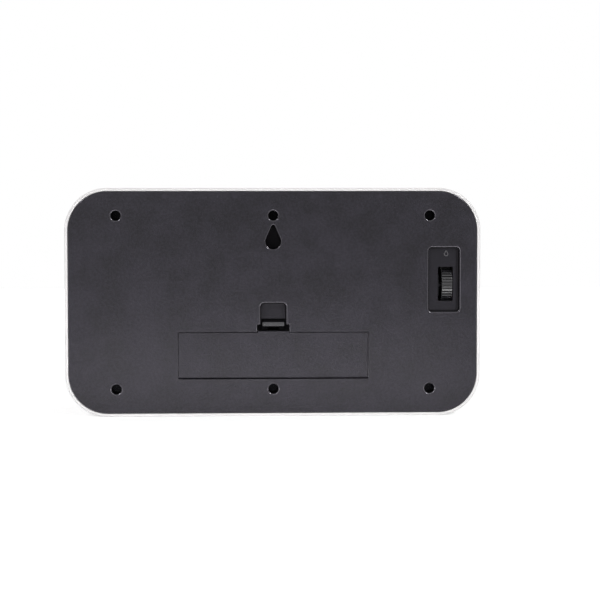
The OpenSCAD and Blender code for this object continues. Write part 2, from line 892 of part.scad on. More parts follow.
// A cheek between x0 and x1, with its groove on the side that the leaves are
module cheek(x0, leaf_side_up, count, bore) {
    x1 = x0 + cheek_t;
    color([0.85, 0.85, 0.83])
        difference() {
            rod_x(x0, x1, [axis_y, axis_z], 2 * (drum_r + cheek_rim));
            rod_x(x0 - 1, x1 + 1, [axis_y, axis_z], bore);
            along_x(leaf_side_up ? x1 - groove_t : x0 - 1, leaf_side_up ? x1 + 1 : x0 + groove_t)
                translate([axis_y, axis_z])
                    difference() {
                        circle(r = drum_r + groove_w / 2, $fn = fine);
                        circle(r = drum_r - groove_w / 2, $fn = fine);
                    }
            along_x(x0 - 1, x1 + 1)
                translate([axis_y, axis_z]) {
                    for (i = [0:count - 1])
                        translate(drum_r * side(180 / count + i * 360 / count)) circle(d = 0.7, $fn = 16);
                    for (i = [0:4])
                        translate(8.8 * side(i * 72)) circle(d = 5, $fn = round_fn);
                }
        }
}

module minute_cheek_left() {
    cheek(x_in - cheek_t, true, minutes, hub_d);
}

module minute_cheek_right() {
    cheek(x_out, false, minutes, hub_d);
}

module hour_cheek_left() {
    cheek(-x_out - cheek_t, true, hour_cards, hub_d);
}

module hour_cheek_right() {
    cheek(-x_in, false, hour_cards, hub_d);
}

module tube(x0, x1, at, outer, inner) {
    difference() {
        rod_x(x0, x1, at, outer);
        rod_x(x0 - 1, x1 + 1, at, inner);
    }
}

module minute_hub() {
    color([0.85, 0.85, 0.83])
        tube(x_train + train_t, x_out + cheek_t, [axis_y, axis_z], hub_d, shaft_d);
}

module hour_hub() {
    color([0.85, 0.85, 0.83])
        tube(-x_out - cheek_t, -x_train - train_t, [axis_y, axis_z], hub_d, shaft_d + 2 * run);
}

module main_shaft() {
    color(steel) rod_x(-x_set - set_t - 2, x_motor + 2, [axis_y, axis_z], shaft_d);
}

// A collar that keeps the shaft from moving endways
module shaft_collar() {
    color(brass) tube(x_motor + gap, x_motor + gap + collar_t, [axis_y, axis_z], hub_d - 1, shaft_d);
}

module minute_pinion() {
    color(brass) gear(x_train, x_train + train_t, [axis_y, axis_z], train_m1, train_z1, 0, shaft_d);
}

module counter_wheel() {
    color([0.9, 0.88, 0.8]) {
        gear(x_train, x_train + train_t, counter, train_m1, train_z2, counter_phase, pin_d - 2 * run);
        gear(-x_train - train_t, -x_train, counter, train_m2, train_z3, counter_phase, pin_d - 2 * run);
    }
}

module counter_axle() {
    color(steel) rod_x(-x_train - train_t, x_train + train_t, counter, pin_d - 2 * run);
}

module hour_gear() {
    color([0.9, 0.88, 0.8])
        gear(-x_train - train_t, -x_train, [axis_y, axis_z], train_m2, train_z4, hour_phase, shaft_d + 2 * run);
}

module setting_gear() {
    color([0.9, 0.88, 0.8]) gear(-x_set - set_t, -x_set, [axis_y, axis_z], set_m, set_z1, 0, shaft_d);
}

module idler_gear() {
    color([0.9, 0.88, 0.8])
        gear(-x_set - set_t, -x_set, idler, set_m, set_z2, idler_phase, stud_d + 2 * run);
}

// A stud riveted into the left plate, with a shoulder up to what turns on it
module stud(at, x_shoulder) {
    color(steel) {
        rod_x(-x_set - set_t - clip_t - 1.2, -x_plate, at, stud_d);
        rod_x(x_shoulder, -x_plate - plate_t, at, stud_d + 2);
    }
}

module idler_stud() {
    stud(idler, -x_set + gap);
}

module thumbwheel_stud() {
    stud(wheel_axis, -wheel_x + wheel_w / 2 + gap);
}

module stud_clips() {
    color(steel)
        for (at = [idler, wheel_axis])
            tube(-x_set - set_t - gap - clip_t, -x_set - set_t - gap, at, stud_d + 3, stud_d);
}

// The wheel has a rib round its rim for each notch that a fingertip feels
module thumbwheel() {
    deep = 0.7;
    color([0.2, 0.2, 0.22]) {
        along_x(-wheel_x - wheel_w / 2, -wheel_x + wheel_w / 2)
            translate(wheel_axis)
                difference() {
                    circle(d = wheel_d, $fn = fine);
                    for (i = [0:wheel_ribs - 1])
                        rotate(i * 360 / wheel_ribs)
                            translate([wheel_d / 2 - deep, -0.5])
                                square([2, 1]);
                    circle(d = stud_d + 2 * run, $fn = round_fn);
                }
        along_x(-x_set, -wheel_x - wheel_w / 2 + hair)
            translate(wheel_axis)
                difference() {
                    circle(d = stud_d + 4, $fn = round_fn);
                    circle(d = stud_d + 2 * run, $fn = round_fn);
                }
        gear(-x_set - set_t, -x_set + hair, wheel_axis, set_m, set_z3, wheel_phase, stud_d + 2 * run);
    }
}

module drive_gear() {
    color([0.9, 0.88, 0.8])
        gear(x_far, x_far + gear_t, [axis_y, axis_z], drive_m, drive_z, 0, shaft_d);
}

// A star washer that lets the shaft slip in the drive gear when the clock is set
module clutch_spring() {
    color(steel)
        along_x(x_far + gear_t, x_far + gear_t + clutch_t)
            translate([axis_y, axis_z])
                difference() {
                    union() {
                        circle(d = shaft_d + 4, $fn = round_fn);
                        for (a = [0, 120, 240])
                            rotate(a) translate([0, -1.5]) square([9, 3]);
                    }
                    circle(d = shaft_d, $fn = round_fn);
                }
}

module intermediate_gear() {
    color([0.9, 0.88, 0.8]) {
        gear(x_near, x_near + gear_t, mid_axis, drive_m, mid_z, mid_phase, pin_d + 2 * run);
        gear(x_near + gear_t - hair, x_far + gear_t, mid_axis, drive_m, mid_pinion_z, mid_phase, pin_d + 2 * run);
    }
}

module intermediate_axle() {
    color(steel) rod_x(x_plate, x_gear_plate + plate_t, mid_axis, pin_d);
}

module motor_pinion() {
    color(brass) {
        gear(x_near, x_near + gear_t, motor_axis, drive_m, motor_z, motor_phase, pin_d - hair);
        rod_x(x_near, x_motor, motor_axis, pin_d);
    }
}

module motor_can() {
    color(steel) {
        difference() {
            union() {
                rod_x(x_motor, x_motor + motor_l, motor_axis, motor_d);
                along_x(x_motor, x_motor + 0.8)
                    translate(motor_axis)
                        for (s = [-1, 1])
                            translate([0, s * (motor_d / 2 + 1)]) circle(d = 7, $fn = round_fn);
                block([x_motor + terminal_x - terminal_h / 2, motor_axis[0] + motor_d / 4, motor_axis[1]],
                    [x_motor + terminal_x + terminal_h / 2, motor_axis[0] + motor_d / 2 + terminal_out,
                        motor_axis[1] + terminal_h]);
            }
            rod_x(x_motor - 1, x_motor + 3, motor_axis, pin_d + 2 * run);
        }
    }
}

module circuit_board() {
    color([0.1, 0.35, 0.2])
        difference() {
            block([board_x - board_w / 2, board_y, board_z - board_h / 2],
                [board_x + board_w / 2, board_y + board_t, board_z + board_h / 2]);
            for (sx = [-1, 1], sz = [-1, 1])
                rod_y(board_y - 1, board_y + board_t + 1, board_x + sx * (board_w / 2 - board_inset),
                    board_z + sz * (board_h / 2 - board_inset), screw_d);
        }
}

module board_screws() {
    color(steel)
        for (sx = [-1, 1], sz = [-1, 1]) {
            x = board_x + sx * (board_w / 2 - board_inset);
            z = board_z + sz * (board_h / 2 - board_inset);
            rod_y(board_y - board_screw_head_h, board_y, x, z, board_screw_head_d);
            rod_y(board_y, (board_y + 2 * y_cover) / 3, x, z, screw_d);
        }
}

module board_parts() {
    color([0.1, 0.1, 0.1])
        block([board_x - chip_w / 2, board_y - chip_t, board_z - chip_h / 2],
            [board_x + chip_w / 2, board_y, board_z + chip_h / 2]);
    color(steel)
        translate([board_x + board_w / 5, 0, board_z + board_h / 5]) {
            rod_x(0, crystal_l, [board_y - crystal_d / 2, 0], crystal_d);
            block([crystal_d / 6, board_y - crystal_d / 3, -crystal_d / 4],
                [crystal_l - crystal_d / 6, board_y, crystal_d / 4]);
        }
    color([0.1, 0.15, 0.4])
        rod_y(board_y - can_h, board_y, board_x - board_w / 4, board_z, can_d);
}

// A smooth tube through a few chosen points
function smooth_at(p, i, t) =
    let(a = p[max(i - 1, 0)], b = p[i], c = p[i + 1], d = p[min(i + 2, len(p) - 1)])
    0.5 * (2 * b + (c - a) * t + (2 * a - 5 * b + 4 * c - d) * t * t + (3 * b - a - 3 * c + d) * t * t * t);
function smooth(p, n) =
    [for (i = [0:len(p) - 2], k = [0:n - 1]) smooth_at(p, i, k / n), p[len(p) - 1]];
function unit(v) = v / norm(v);

module wire(points, d) {
    sides = 8;
    path = smooth(points, 5);
    last = len(path) - 1;
    rings = [for (i = [0:last])
        let(t = unit(path[min(i + 1, last)] - path[max(i - 1, 0)]),
            u = unit(cross(t, abs(t[0]) < 0.8 ? [1, 0, 0] : [0, 0, 1])),
            v = cross(t, u))
        [for (k = [0:sides - 1]) path[i] + d / 2 * (cos(k * 45) * u + sin(k * 45) * v)]];
    polyhedron([for (r = rings, p = r) p], concat(
        [[for (k = [0:sides - 1]) k]],
        [for (i = [0:last - 1], k = [0:sides - 1])
            let(a = i * sides + k, b = i * sides + (k + 1) % sides)
            [a, a + sides, b + sides]],
        [for (i = [0:last - 1], k = [0:sides - 1])
            let(a = i * sides + k, b = i * sides + (k + 1) % sides)
            [a, b + sides, b]],
        [[for (k = [sides - 1:-1:0]) last * sides + k]]));
}

lead_d = 1.4;
lead_out = 2.5;
lead_arc = 9;
lead_z = board_z - board_h / 2 + board_inset;
lead_y = (rod_rear_top[0] + plate_rim + board_y) / 2;
red_x = board_x + 0.3 * board_w;
black_x = board_x - 0.3 * board_w;
motor_lead_x = board_x + board_w / 2 - lead_arc;
red_from = [box_half_l + box_end, cell_y, cell_z + cell_r / 2];
black_from = [-box_half_l - box_end, cell_y, cell_z + cell_r / 2];

// A straight end of a wire on the board, from its last bend to its joint
function at_board(x, z) = [for (k = [2:-1:0]) [x, board_y - k * lead_out, z]];

module red_wire() {
    color([0.75, 0.1, 0.1])
        wire(concat([red_from, red_from + [lead_out, 0, 0], red_from + [2 * lead_out, 0, 0],
            red_from + lead_arc * [1, 0.2, 1], [red_x + lead_out, board_y - lead_arc, lead_z - lead_arc]],
            at_board(red_x, lead_z)), lead_d);
}

module black_wire() {
    color([0.05, 0.05, 0.05])
        wire(concat([black_from, black_from - [lead_out, 0, 0], black_from - [2 * lead_out, 0, 0],
            black_from + lead_arc * [-1, 0.2, 1], [-0.7 * box_half_l, board_y - lead_arc, lead_z - 2 * lead_arc],
            [0, board_y - lead_arc, lead_z - 2.4 * lead_arc],
            [black_x - lead_out, board_y - lead_arc, lead_z - lead_arc]],
            at_board(black_x, lead_z)), lead_d);
}

module motor_wires() {
    from = [x_motor + terminal_x, motor_axis[0] + motor_d / 2 + terminal_out, motor_axis[1] + terminal_h / 2];
    for (s = [-1, 1])
        translate([0, 0, 0.9 * lead_d * s])
            color(s > 0 ? [0.8, 0.6, 0.1] : [0.1, 0.3, 0.7])
                wire(concat([from, from + [0, lead_d, 0], from + [0, 2 * lead_d, 0],
                    [x_plate + plate_t + lead_d, lead_y, board_z - lead_arc],
                    [x_plate - lead_arc, lead_y, board_z]],
                    at_board(motor_lead_x, board_z)), lead_d);
}

front_case();
face_plate();
rear_cover();
battery_box();
case_screws();
battery_door();
door_latch();
latch_spring();
battery_left();
battery_right();
negative_contact();
positive_contact();
red_wire();
black_wire();
motor_wires();
circuit_board();
board_parts();
board_screws();
left_plate();
centre_plate();
right_plate();
gear_plate();
gear_pillars();
tie_rods();
rod_nuts();
frame_screws();
shaft_bushes();
minute_finger();
hour_finger();
main_shaft();
shaft_collar();
minute_hub();
minute_cheek_left();
minute_cheek_right();
minute_leaves();
minute_leaf();
hour_hub();
hour_cheek_left();
hour_cheek_right();
hour_leaves();
hour_leaf();
minute_pinion();
counter_wheel();
counter_axle();
hour_gear();
setting_gear();
idler_gear();
idler_stud();
thumbwheel();
thumbwheel_stud();
stud_clips();
drive_gear();
clutch_spring();
intermediate_gear();
intermediate_axle();
motor_pinion();
motor_can();
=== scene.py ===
"""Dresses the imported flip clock: its shell, back, front, leaves, numerals and studio.

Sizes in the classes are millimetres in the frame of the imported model: X to the right
seen from the front, Y to the back, Z up, and Z 0 under the case.
"""

import logging
import math
from dataclasses import dataclass, field
from enum import Enum
from typing import Iterable, Self, Sequence

import bmesh
import bpy
from mathutils import Matrix, Vector


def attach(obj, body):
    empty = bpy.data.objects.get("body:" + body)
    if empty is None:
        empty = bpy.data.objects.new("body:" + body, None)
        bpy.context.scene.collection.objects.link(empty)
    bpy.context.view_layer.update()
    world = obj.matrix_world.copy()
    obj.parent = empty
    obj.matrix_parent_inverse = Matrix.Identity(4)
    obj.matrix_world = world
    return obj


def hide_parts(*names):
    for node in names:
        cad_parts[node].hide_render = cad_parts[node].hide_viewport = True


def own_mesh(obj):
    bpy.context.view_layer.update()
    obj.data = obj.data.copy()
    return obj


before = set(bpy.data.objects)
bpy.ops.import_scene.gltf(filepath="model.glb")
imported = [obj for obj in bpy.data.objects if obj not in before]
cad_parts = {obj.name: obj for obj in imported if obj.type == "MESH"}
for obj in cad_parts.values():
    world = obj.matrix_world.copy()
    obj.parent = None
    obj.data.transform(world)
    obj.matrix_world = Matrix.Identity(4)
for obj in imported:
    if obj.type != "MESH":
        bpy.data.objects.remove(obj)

LOG = logging.getLogger("flip_clock")
MM = 0.001
Point = tuple[float, float]
Place = Sequence[float]
Triple = tuple[float, float, float]
Colour = Triple
Loop = tuple[float, float, float, float, float, float]
Socket = bpy.types.NodeSocket
Edges = list[bmesh.types.BMEdge]


class Body(Enum):
    """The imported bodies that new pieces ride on."""

    CLOCK = "clock"
    MINUTE_LEAF = "minute_leaf"
    HOUR_LEAF = "hour_leaf"
    THUMBWHEEL = "thumbwheel"
    DOOR = "battery_door"
    LATCH = "door_latch"


class Slot(Enum):
    """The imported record's material slots that new pieces take their finish from."""

    WHITE_CASE = "white_case"
    BLACK_COVER = "black_cover"
    FACE_BLACK = "face_black"
    LEAF_BLACK = "leaf_black"
    WHEEL_GREY = "wheel_grey"
    LATCH_GREY = "latch_grey"
    CELL_SLEEVE = "cell_sleeve"
    BRIGHT_STEEL = "bright_steel"


class Side(Enum):
    """Which half of a numeral is printed."""

    UPPER = 1
    LOWER = -1


# Finishes

NOISE_CORE = (0.4, 0.6)  # where most values of a noise lie
NOISE_SPAN = (0.3, 0.7)  # where nearly all of them lie
FULL = (0.0, 1.0)


class NodeBench:
    """A short way to lay out the nodes of one tree."""

    def __init__(self, tree: bpy.types.NodeTree) -> None:
        """Works on a tree that is there already."""
        self.tree = tree

    def node(self, kind: str, **settings: object) -> bpy.types.Node:
        """Adds a node.

        Args:
            kind: The node's type without its ShaderNode prefix.
            settings: Properties, or input sockets by name, with spaces as underscores.

        Returns:
            The new node.
        """
        made = self.tree.nodes.new("ShaderNode" + kind)
        for key, value in settings.items():
            socket = made.inputs.get(key.replace("_", " "))
            if socket is not None and not hasattr(made, key):
                socket.default_value = value
            else:
                setattr(made, key, value)
        return made

    def link(self, out: Socket, into: Socket) -> None:
        """Joins two sockets."""
        self.tree.links.new(out, into)

    def place(self) -> Socket:
        """Returns the piece's own coordinates, in metres."""
        return self.node("TexCoord").outputs["Object"]

    def mapped(self, **settings: object) -> Socket:
        """Returns the piece's coordinates moved, turned or scaled by a mapping's settings."""
        mapping = self.node("Mapping", **settings)
        self.link(self.place(), mapping.inputs["Vector"])
        return mapping.outputs["Vector"]

    def noise(self, size_mm: float, detail: float = 3.0, coords: Socket | None = None) -> Socket:
        """Returns soft noise.

        Args:
            size_mm: The size of one grain.
            detail: How many finer layers it has.
            coords: Coordinates, the piece's own where none are given.
        """
        made = self.node("TexNoise", Scale=1.0 / (size_mm * MM), Detail=detail, Roughness=0.6)
        self.link(coords or self.place(), made.inputs["Vector"])
        return made.outputs["Fac"]

    def ramp(self, value: Socket, span: Point, ends: Point) -> Socket:
        """Takes a value from one span to another.

        Args:
            value: The value.
            span: Its low and high end.
            ends: What they become, with no value beyond them.

        Returns:
            The new value.
        """
        (low, high), (a, b) = span, ends
        made = self.node("MapRange", From_Min=low, From_Max=high, To_Min=a, To_Max=b)
        self.link(value, made.inputs["Value"])
        return made.outputs["Result"]

    def blend(self, factor: Socket, a: Socket | Colour, b: Colour) -> Socket:
        """Mixes two colours.

        Args:
            factor: 0 for the first and 1 for the second.
            a: The first colour, or a socket that gives it.
            b: The second colour.

        Returns:
            The mixed colour.
        """
        made = self.node("Mix", data_type="RGBA")
        if isinstance(a, Socket):
            self.link(a, made.inputs["A"])
        else:
            made.inputs["A"].default_value = (*a, 1)
        made.inputs["B"].default_value = (*b, 1)
        self.link(factor, made.inputs["Factor"])
        return made.outputs["Result"]

    def length(self, vector: Socket) -> Socket:
        """Returns how long a vector is."""
        made = self.node("VectorMath", operation="LENGTH")
        self.link(vector, made.inputs[0])
        return made.outputs["Value"]

    def mark(self, at: Place, turn: float, size: Place) -> Socket:
        """Returns 1 within a small ellipsoid and 0 outside it, with a soft edge.

        Args:
            at: Its middle, in millimetres.
            turn: How far it is turned about Y, in degrees.
            size: Its half lengths, in millimetres.
        """
        inside = self.mapped(vector_type="TEXTURE", Location=[c * MM for c in at],
                             Rotation=(0.0, math.radians(turn), 0.0), Scale=[c * MM for c in size])
        return self.ramp(self.length(inside), (0.4, 1.0), (1.0, 0.0))

    def add(self, a: Socket, b: Socket, share: float) -> Socket:
        """Adds a share of one value to another.

        Args:
            a: The value that is added to.
            b: The value of which a share is added.
            share: The share.

        Returns:
            The sum.
        """
        made = self.node("Math", operation="MULTIPLY_ADD")
        self.link(b, made.inputs[0])
        made.inputs[1].default_value = share
        self.link(a, made.inputs[2])
        return made.outputs["Value"]


class FinishBench(NodeBench):
    """The nodes of one material, with its Principled shader."""

    def __init__(self, name: str, **constants: object) -> None:
        """Starts a material.

        Args:
            name: Its name.
            constants: Values for the shader's sockets by name, with spaces as underscores.
        """
        self.material = bpy.data.materials.new(name)
        self.material.use_nodes = True
        super().__init__(self.material.node_tree)
        self.shader = self.tree.nodes["Principled BSDF"]
        for key, value in constants.items():
            self.shader.inputs[key.replace("_", " ")].default_value = value

    def finish(self, colour: Socket, rough: Socket, height: Socket, depth_mm: float) -> bpy.types.Material:
        """Joins what was laid out to the shader.

        Args:
            colour: The base colour.
            rough: The roughness.
            height: The height of the surface's relief, about 0 to 1.
            depth_mm: How deep a height of 1 is.

        Returns:
            The material.
        """
        bump = self.node("Bump", Strength=1.0, Distance=depth_mm * MM)
        self.link(height, bump.inputs["Height"])
        self.link(colour, self.shader.inputs["Base Color"])
        self.link(rough, self.shader.inputs["Roughness"])
        self.link(bump.outputs["Normal"], self.shader.inputs["Normal"])
        return self.material


def darker(colour: Colour, share: float) -> Colour:
    """Returns a share of a colour."""
    return tuple(share * c for c in colour)


@dataclass(frozen=True)
class MouldedPlastic:
    """Plastic from a mould with a spark-eroded surface."""

    name: str
    colour: Colour
    shade: Colour
    roughness: float = 0.45
    grain_mm: float = 0.35
    depth_mm: float = 0.01
    mottle_mm: float = 18.0
    specular: float = 0.5
    tint: Colour = (1.0, 1.0, 1.0)
    marks: tuple[tuple[Colour, float, Colour], ...] = ()
    drift: Point = (-0.02, 0.03)
    polish: float = 0.012

    def make(self) -> bpy.types.Material:
        """Returns the material: two grains, a slow drift of colour, and spots rubbed smoother."""
        bench = FinishBench(self.name, Specular_IOR_Level=self.specular, Specular_Tint=(*self.tint, 1))
        fine = bench.noise(self.grain_mm, 2.0)
        coarse = bench.noise(4 * self.grain_mm, 3.0)
        slow = bench.noise(self.mottle_mm, 2.0)
        rubbed = bench.ramp(bench.noise(self.mottle_mm * 2.6, 4.0), (0.55, 0.75), FULL)
        speck = bench.ramp(coarse, NOISE_CORE, (0.0, 0.6))
        speck = bench.add(speck, bench.ramp(fine, NOISE_CORE, FULL), 0.4)
        mixed = bench.add(bench.ramp(slow, (0.38, 0.62), (0.0, 0.4)), speck, 0.6)
        base = bench.blend(mixed, self.shade, self.colour)
        low, high = self.drift
        rough = bench.ramp(slow, NOISE_SPAN, (self.roughness + low, self.roughness + high))
        rough = bench.add(rough, rubbed, -self.polish)
        for at, turn, size in self.marks:
            mark = bench.mark(at, turn, size)
            base = bench.blend(mark, base, darker(self.colour, 0.95))
            rough = bench.add(rough, mark, 0.08)
        return bench.finish(base, rough, bench.add(fine, coarse, 1.5), self.depth_mm)


@dataclass(frozen=True)
class DrawnMetal:
    """Metal that was drawn, turned or plated, with fine lines along one axis."""

    name: str
    colour: Colour
    shade: Colour
    roughness: float = 0.3
    lines: Colour = (0.15, 1.0, 1.0)
    line_mm: float = 0.25
    bloom_mm: float = 7.0
    depth_mm: float = 0.004

    def make(self) -> bpy.types.Material:
        """Returns the material: streaks, a dull bloom and a faint bump."""
        bench = FinishBench(self.name, Metallic=1.0)
        streaks = bench.noise(self.line_mm, 3.0, bench.mapped(Scale=self.lines))
        bloom = bench.noise(self.bloom_mm, 3.0)
        rough = bench.ramp(bloom, NOISE_SPAN, (self.roughness - 0.05, self.roughness + 0.08))
        return bench.finish(bench.blend(bloom, self.shade, self.colour), bench.add(rough, streaks, 0.12),
                            streaks, self.depth_mm)


@dataclass(frozen=True)
class FlipCard:
    """The thin card or sheet of the leaves, dull black with a faint weave."""

    name: str
    colour: Colour
    shade: Colour
    fibre_mm: float = 0.3
    patch_mm: float = 12.0
    depth_mm: float = 0.004

    def make(self) -> bpy.types.Material:
        """Returns the material: cross-laid fibres and a soft sheen."""
        bench = FinishBench(self.name)
        across = bench.noise(self.fibre_mm, 2.0, bench.mapped(Scale=(0.2, 1.0, 1.0)))
        down = bench.noise(self.fibre_mm, 2.0, bench.mapped(Scale=(1.0, 1.0, 0.25)))
        weave = bench.add(across, down, 0.8)
        base = bench.blend(bench.ramp(weave, (0.6, 1.2), FULL), self.shade, self.colour)
        rough = bench.ramp(bench.noise(self.patch_mm), NOISE_SPAN, (0.42, 0.52))
        return bench.finish(base, rough, weave, self.depth_mm)


@dataclass(frozen=True)
class ScreenInk:
    """Matt ink pressed through a screen, a little thin at places."""

    name: str
    colour: Colour
    shade: Colour
    thin_mm: float = 5.0
    pinhole_mm: float = 0.4
    depth_mm: float = 0.003

    def make(self) -> bpy.types.Material:
        """Returns the material: pinholes, thin spots and a dull surface."""
        bench = FinishBench(self.name)
        thin = bench.noise(self.thin_mm, 4.0)
        holes = bench.ramp(bench.noise(self.pinhole_mm, 2.0), (0.68, 0.78), (0.0, 0.6))
        base = bench.blend(bench.ramp(thin, (0.35, 0.65), FULL), self.shade, self.colour)
        return bench.finish(bench.blend(holes, base, darker(self.shade, 0.55)),
                            bench.ramp(thin, NOISE_SPAN, (0.55, 0.68)), bench.noise(0.3, 2.0), self.depth_mm)


@dataclass(frozen=True)
class PrintedSleeve:
    """The plain shrunk sleeve of a dry cell, in two bands."""

    name: str
    colour: Colour
    band: Colour
    split_mm: float
    blur_mm: float = 0.05
    depth_mm: float = 0.03

    def make(self) -> bpy.types.Material:
        """Returns the material: two bands along X with shrink ripples."""
        bench = FinishBench(self.name, Coat_Weight=0.4)
        axes = bench.node("SeparateXYZ")
        bench.link(bench.place(), axes.inputs["Vector"])
        edge = ((self.split_mm - self.blur_mm) * MM, (self.split_mm + self.blur_mm) * MM)
        base = bench.blend(bench.ramp(axes.outputs["X"], edge, FULL), self.band, self.colour)
        rough = bench.ramp(bench.noise(6.0), NOISE_SPAN, (0.22, 0.34))
        ripples = bench.noise(1.4, 2.0, bench.mapped(Scale=(0.3, 1.0, 1.0)))
        return bench.finish(base, rough, ripples, self.depth_mm)


@dataclass(frozen=True)
class SolderMask:
    """A circuit board's green lacquer over copper tracks."""

    name: str
    colour: Colour
    track: Colour
    depth_mm: float = 0.03

    def make(self) -> bpy.types.Material:
        """Returns the material: tracks as a lighter pattern of bricks under gloss."""
        bench = FinishBench(self.name)
        bricks = bench.node("TexBrick", Scale=110.0, Mortar_Size=0.03, Mortar_Smooth=0.2, Brick_Width=1.3,
                            Row_Height=0.28)
        bench.link(bench.mapped(Rotation=(math.radians(90), 0.0, 0.0)), bricks.inputs["Vector"])
        tracks = bricks.outputs["Fac"]
        rough = bench.ramp(bench.noise(3.0), NOISE_SPAN, (0.25, 0.38))
        return bench.finish(bench.blend(tracks, self.colour, self.track), rough, tracks, self.depth_mm)


@dataclass(frozen=True)
class WireSleeve:
    """The soft plastic sleeve of a lead."""

    name: str
    colour: Colour
    depth_mm: float = 0.004

    def make(self) -> bpy.types.Material:
        """Returns the material: soft gloss with faint drawing lines."""
        bench = FinishBench(self.name)
        patch = bench.noise(2.5, 2.0)
        base = bench.blend(patch, darker(self.colour, 0.75), self.colour)
        rough = bench.ramp(patch, NOISE_SPAN, (0.32, 0.45))
        return bench.finish(base, rough, bench.noise(0.3, 2.0), self.depth_mm)


Finish = MouldedPlastic | DrawnMetal | FlipCard | ScreenInk | PrintedSleeve | SolderMask | WireSleeve

COVER = {"mottle_mm": 22.0, "tint": (0.94, 0.9, 1.0)}
COVER_MARKS = (
    ((64.9, 43.0, 132.0), 0.0, (2.4, 2.0, 1.8)), ((22.9, 43.0, 132.0), 0.0, (2.2, 2.0, 1.8)),
    ((-23.9, 43.0, 132.0), 0.0, (2.4, 2.0, 1.8)), ((-64.1, 43.0, 132.0), 0.0, (2.2, 2.0, 1.8)),
    ((-105.5, 43.0, 114.2), 29.0, (6.2, 2.0, 0.22)))
WHITE_SHELL = MouldedPlastic("white_shell", (0.87, 0.855, 0.855), (0.84, 0.825, 0.825), roughness=0.55,
                             grain_mm=0.5, depth_mm=0.004, mottle_mm=30.0, specular=0.2)
BLACK_BACK = MouldedPlastic("black_back", (0.0148, 0.0138, 0.0192), (0.0, 0.0, 0.0), roughness=0.31,
                            grain_mm=0.4, depth_mm=0.11, specular=0.335, marks=COVER_MARKS, **COVER)
BLACK_LIP = MouldedPlastic("black_lip", (0.010, 0.0095, 0.012), (0.007, 0.0065, 0.008), roughness=0.14,
                           grain_mm=0.5, depth_mm=0.002, specular=0.95, **COVER)
# Painted shade: a darker black for the floors of the finger recess and the wheel's pocket.
PAINTED_FLOOR_SHADE = MouldedPlastic("painted_floor_shade", (0.008, 0.0075, 0.010), (0.004, 0.0038, 0.0053),
                              roughness=0.36, grain_mm=0.4, depth_mm=0.06, specular=0.25, **COVER)
# Painted shade: the darkest black, for the cover's hollows, the pocket's coves and walls, and the latch's
# leg, where shade falls.
PAINTED_DEEP_SHADE = MouldedPlastic("painted_deep_shade", (0.004, 0.0038, 0.0045), (0.003, 0.0028, 0.0034),
                              roughness=0.55, grain_mm=0.4, depth_mm=0.02, specular=0.15, **COVER)
BLACK_INSIDE = MouldedPlastic("black_inside", (0.016, 0.016, 0.018), (0.010, 0.010, 0.011), roughness=0.55,
                              grain_mm=0.4)
BLACK_FACE = MouldedPlastic("black_face", (0.012, 0.012, 0.014), (0.008, 0.008, 0.009), roughness=0.42,
                            grain_mm=0.3, depth_mm=0.012, mottle_mm=25.0, specular=0.42)
WHEEL_GREY = MouldedPlastic("wheel_grey", (0.017, 0.0165, 0.019), (0.011, 0.0105, 0.0125), roughness=0.24,
                            grain_mm=0.3, depth_mm=0.006, specular=0.75)
LATCH_GREY = MouldedPlastic("latch_grey", (0.028, 0.027, 0.031), (0.020, 0.0195, 0.0225), roughness=0.4,
                            grain_mm=0.3, mottle_mm=6.0)
# Painted highlight: a lighter grey on the raised arrow, for the light that its outline catches.
PAINTED_ARROW_HIGHLIGHT = MouldedPlastic("painted_arrow_highlight", (0.10, 0.098, 0.105), (0.08, 0.078, 0.084), roughness=0.4,
                           grain_mm=0.3, depth_mm=0.006, mottle_mm=6.0)
GEAR_CREAM = MouldedPlastic("gear_cream", (0.74, 0.70, 0.58), (0.66, 0.62, 0.5), roughness=0.35,
                            grain_mm=0.6, depth_mm=0.004)
DRUM_WHITE = MouldedPlastic("drum_white", (0.66, 0.66, 0.63), (0.58, 0.58, 0.55), roughness=0.4,
                            grain_mm=0.5, depth_mm=0.006)
CHIP_BLACK = MouldedPlastic("chip_black", (0.03, 0.03, 0.033), (0.02, 0.02, 0.022), roughness=0.5,
                            grain_mm=0.2, depth_mm=0.008)
ZINC = DrawnMetal("zinc_plate", (0.66, 0.67, 0.69), (0.5, 0.51, 0.53), 0.32)
STEEL = DrawnMetal("bright_steel", (0.72, 0.72, 0.73), (0.58, 0.58, 0.6), 0.22)
BLACK_OXIDE = DrawnMetal("black_oxide", (0.028, 0.028, 0.031), (0.016, 0.016, 0.018), 0.4)
BLACK_SCREW = DrawnMetal("black_screw", (0.009, 0.009, 0.01), (0.005, 0.005, 0.006), 0.45)
BRASS = DrawnMetal("turned_brass", (0.80, 0.60, 0.26), (0.66, 0.46, 0.18), 0.24)
LEAF_CARD = FlipCard("leaf_card", (0.026, 0.026, 0.028), (0.017, 0.017, 0.019))
LEAF_INK = ScreenInk("leaf_ink", (0.84, 0.84, 0.81), (0.77, 0.77, 0.74))
BOARD_LACQUER = SolderMask("board_lacquer", (0.012, 0.10, 0.045), (0.03, 0.19, 0.08))
RED_SLEEVE = WireSleeve("red_sleeve", (0.42, 0.02, 0.02))
BLACK_SLEEVE = WireSleeve("black_sleeve", (0.02, 0.02, 0.022))
YELLOW_SLEEVE = WireSleeve("yellow_sleeve", (0.5, 0.36, 0.04))


class Paint:
    """Makes each finish once and gives it to pieces."""

    made: dict[str, bpy.types.Material] = {}

    @classmethod
    def of(cls, finish: Finish) -> bpy.types.Material:
        """Returns the material of a finish, made the first time that it is asked for."""
        if finish.name not in cls.made:
            cls.made[finish.name] = finish.make()
        return cls.made[finish.name]


# Mesh work

UPRIGHT = Matrix.Rotation(math.radians(90), 3, "X")
CLOSE = 1e-4
AXES = {"X": Vector((1, 0, 0)), "Y": Vector((0, 1, 0)), "Z": Vector((0, 0, 1))}


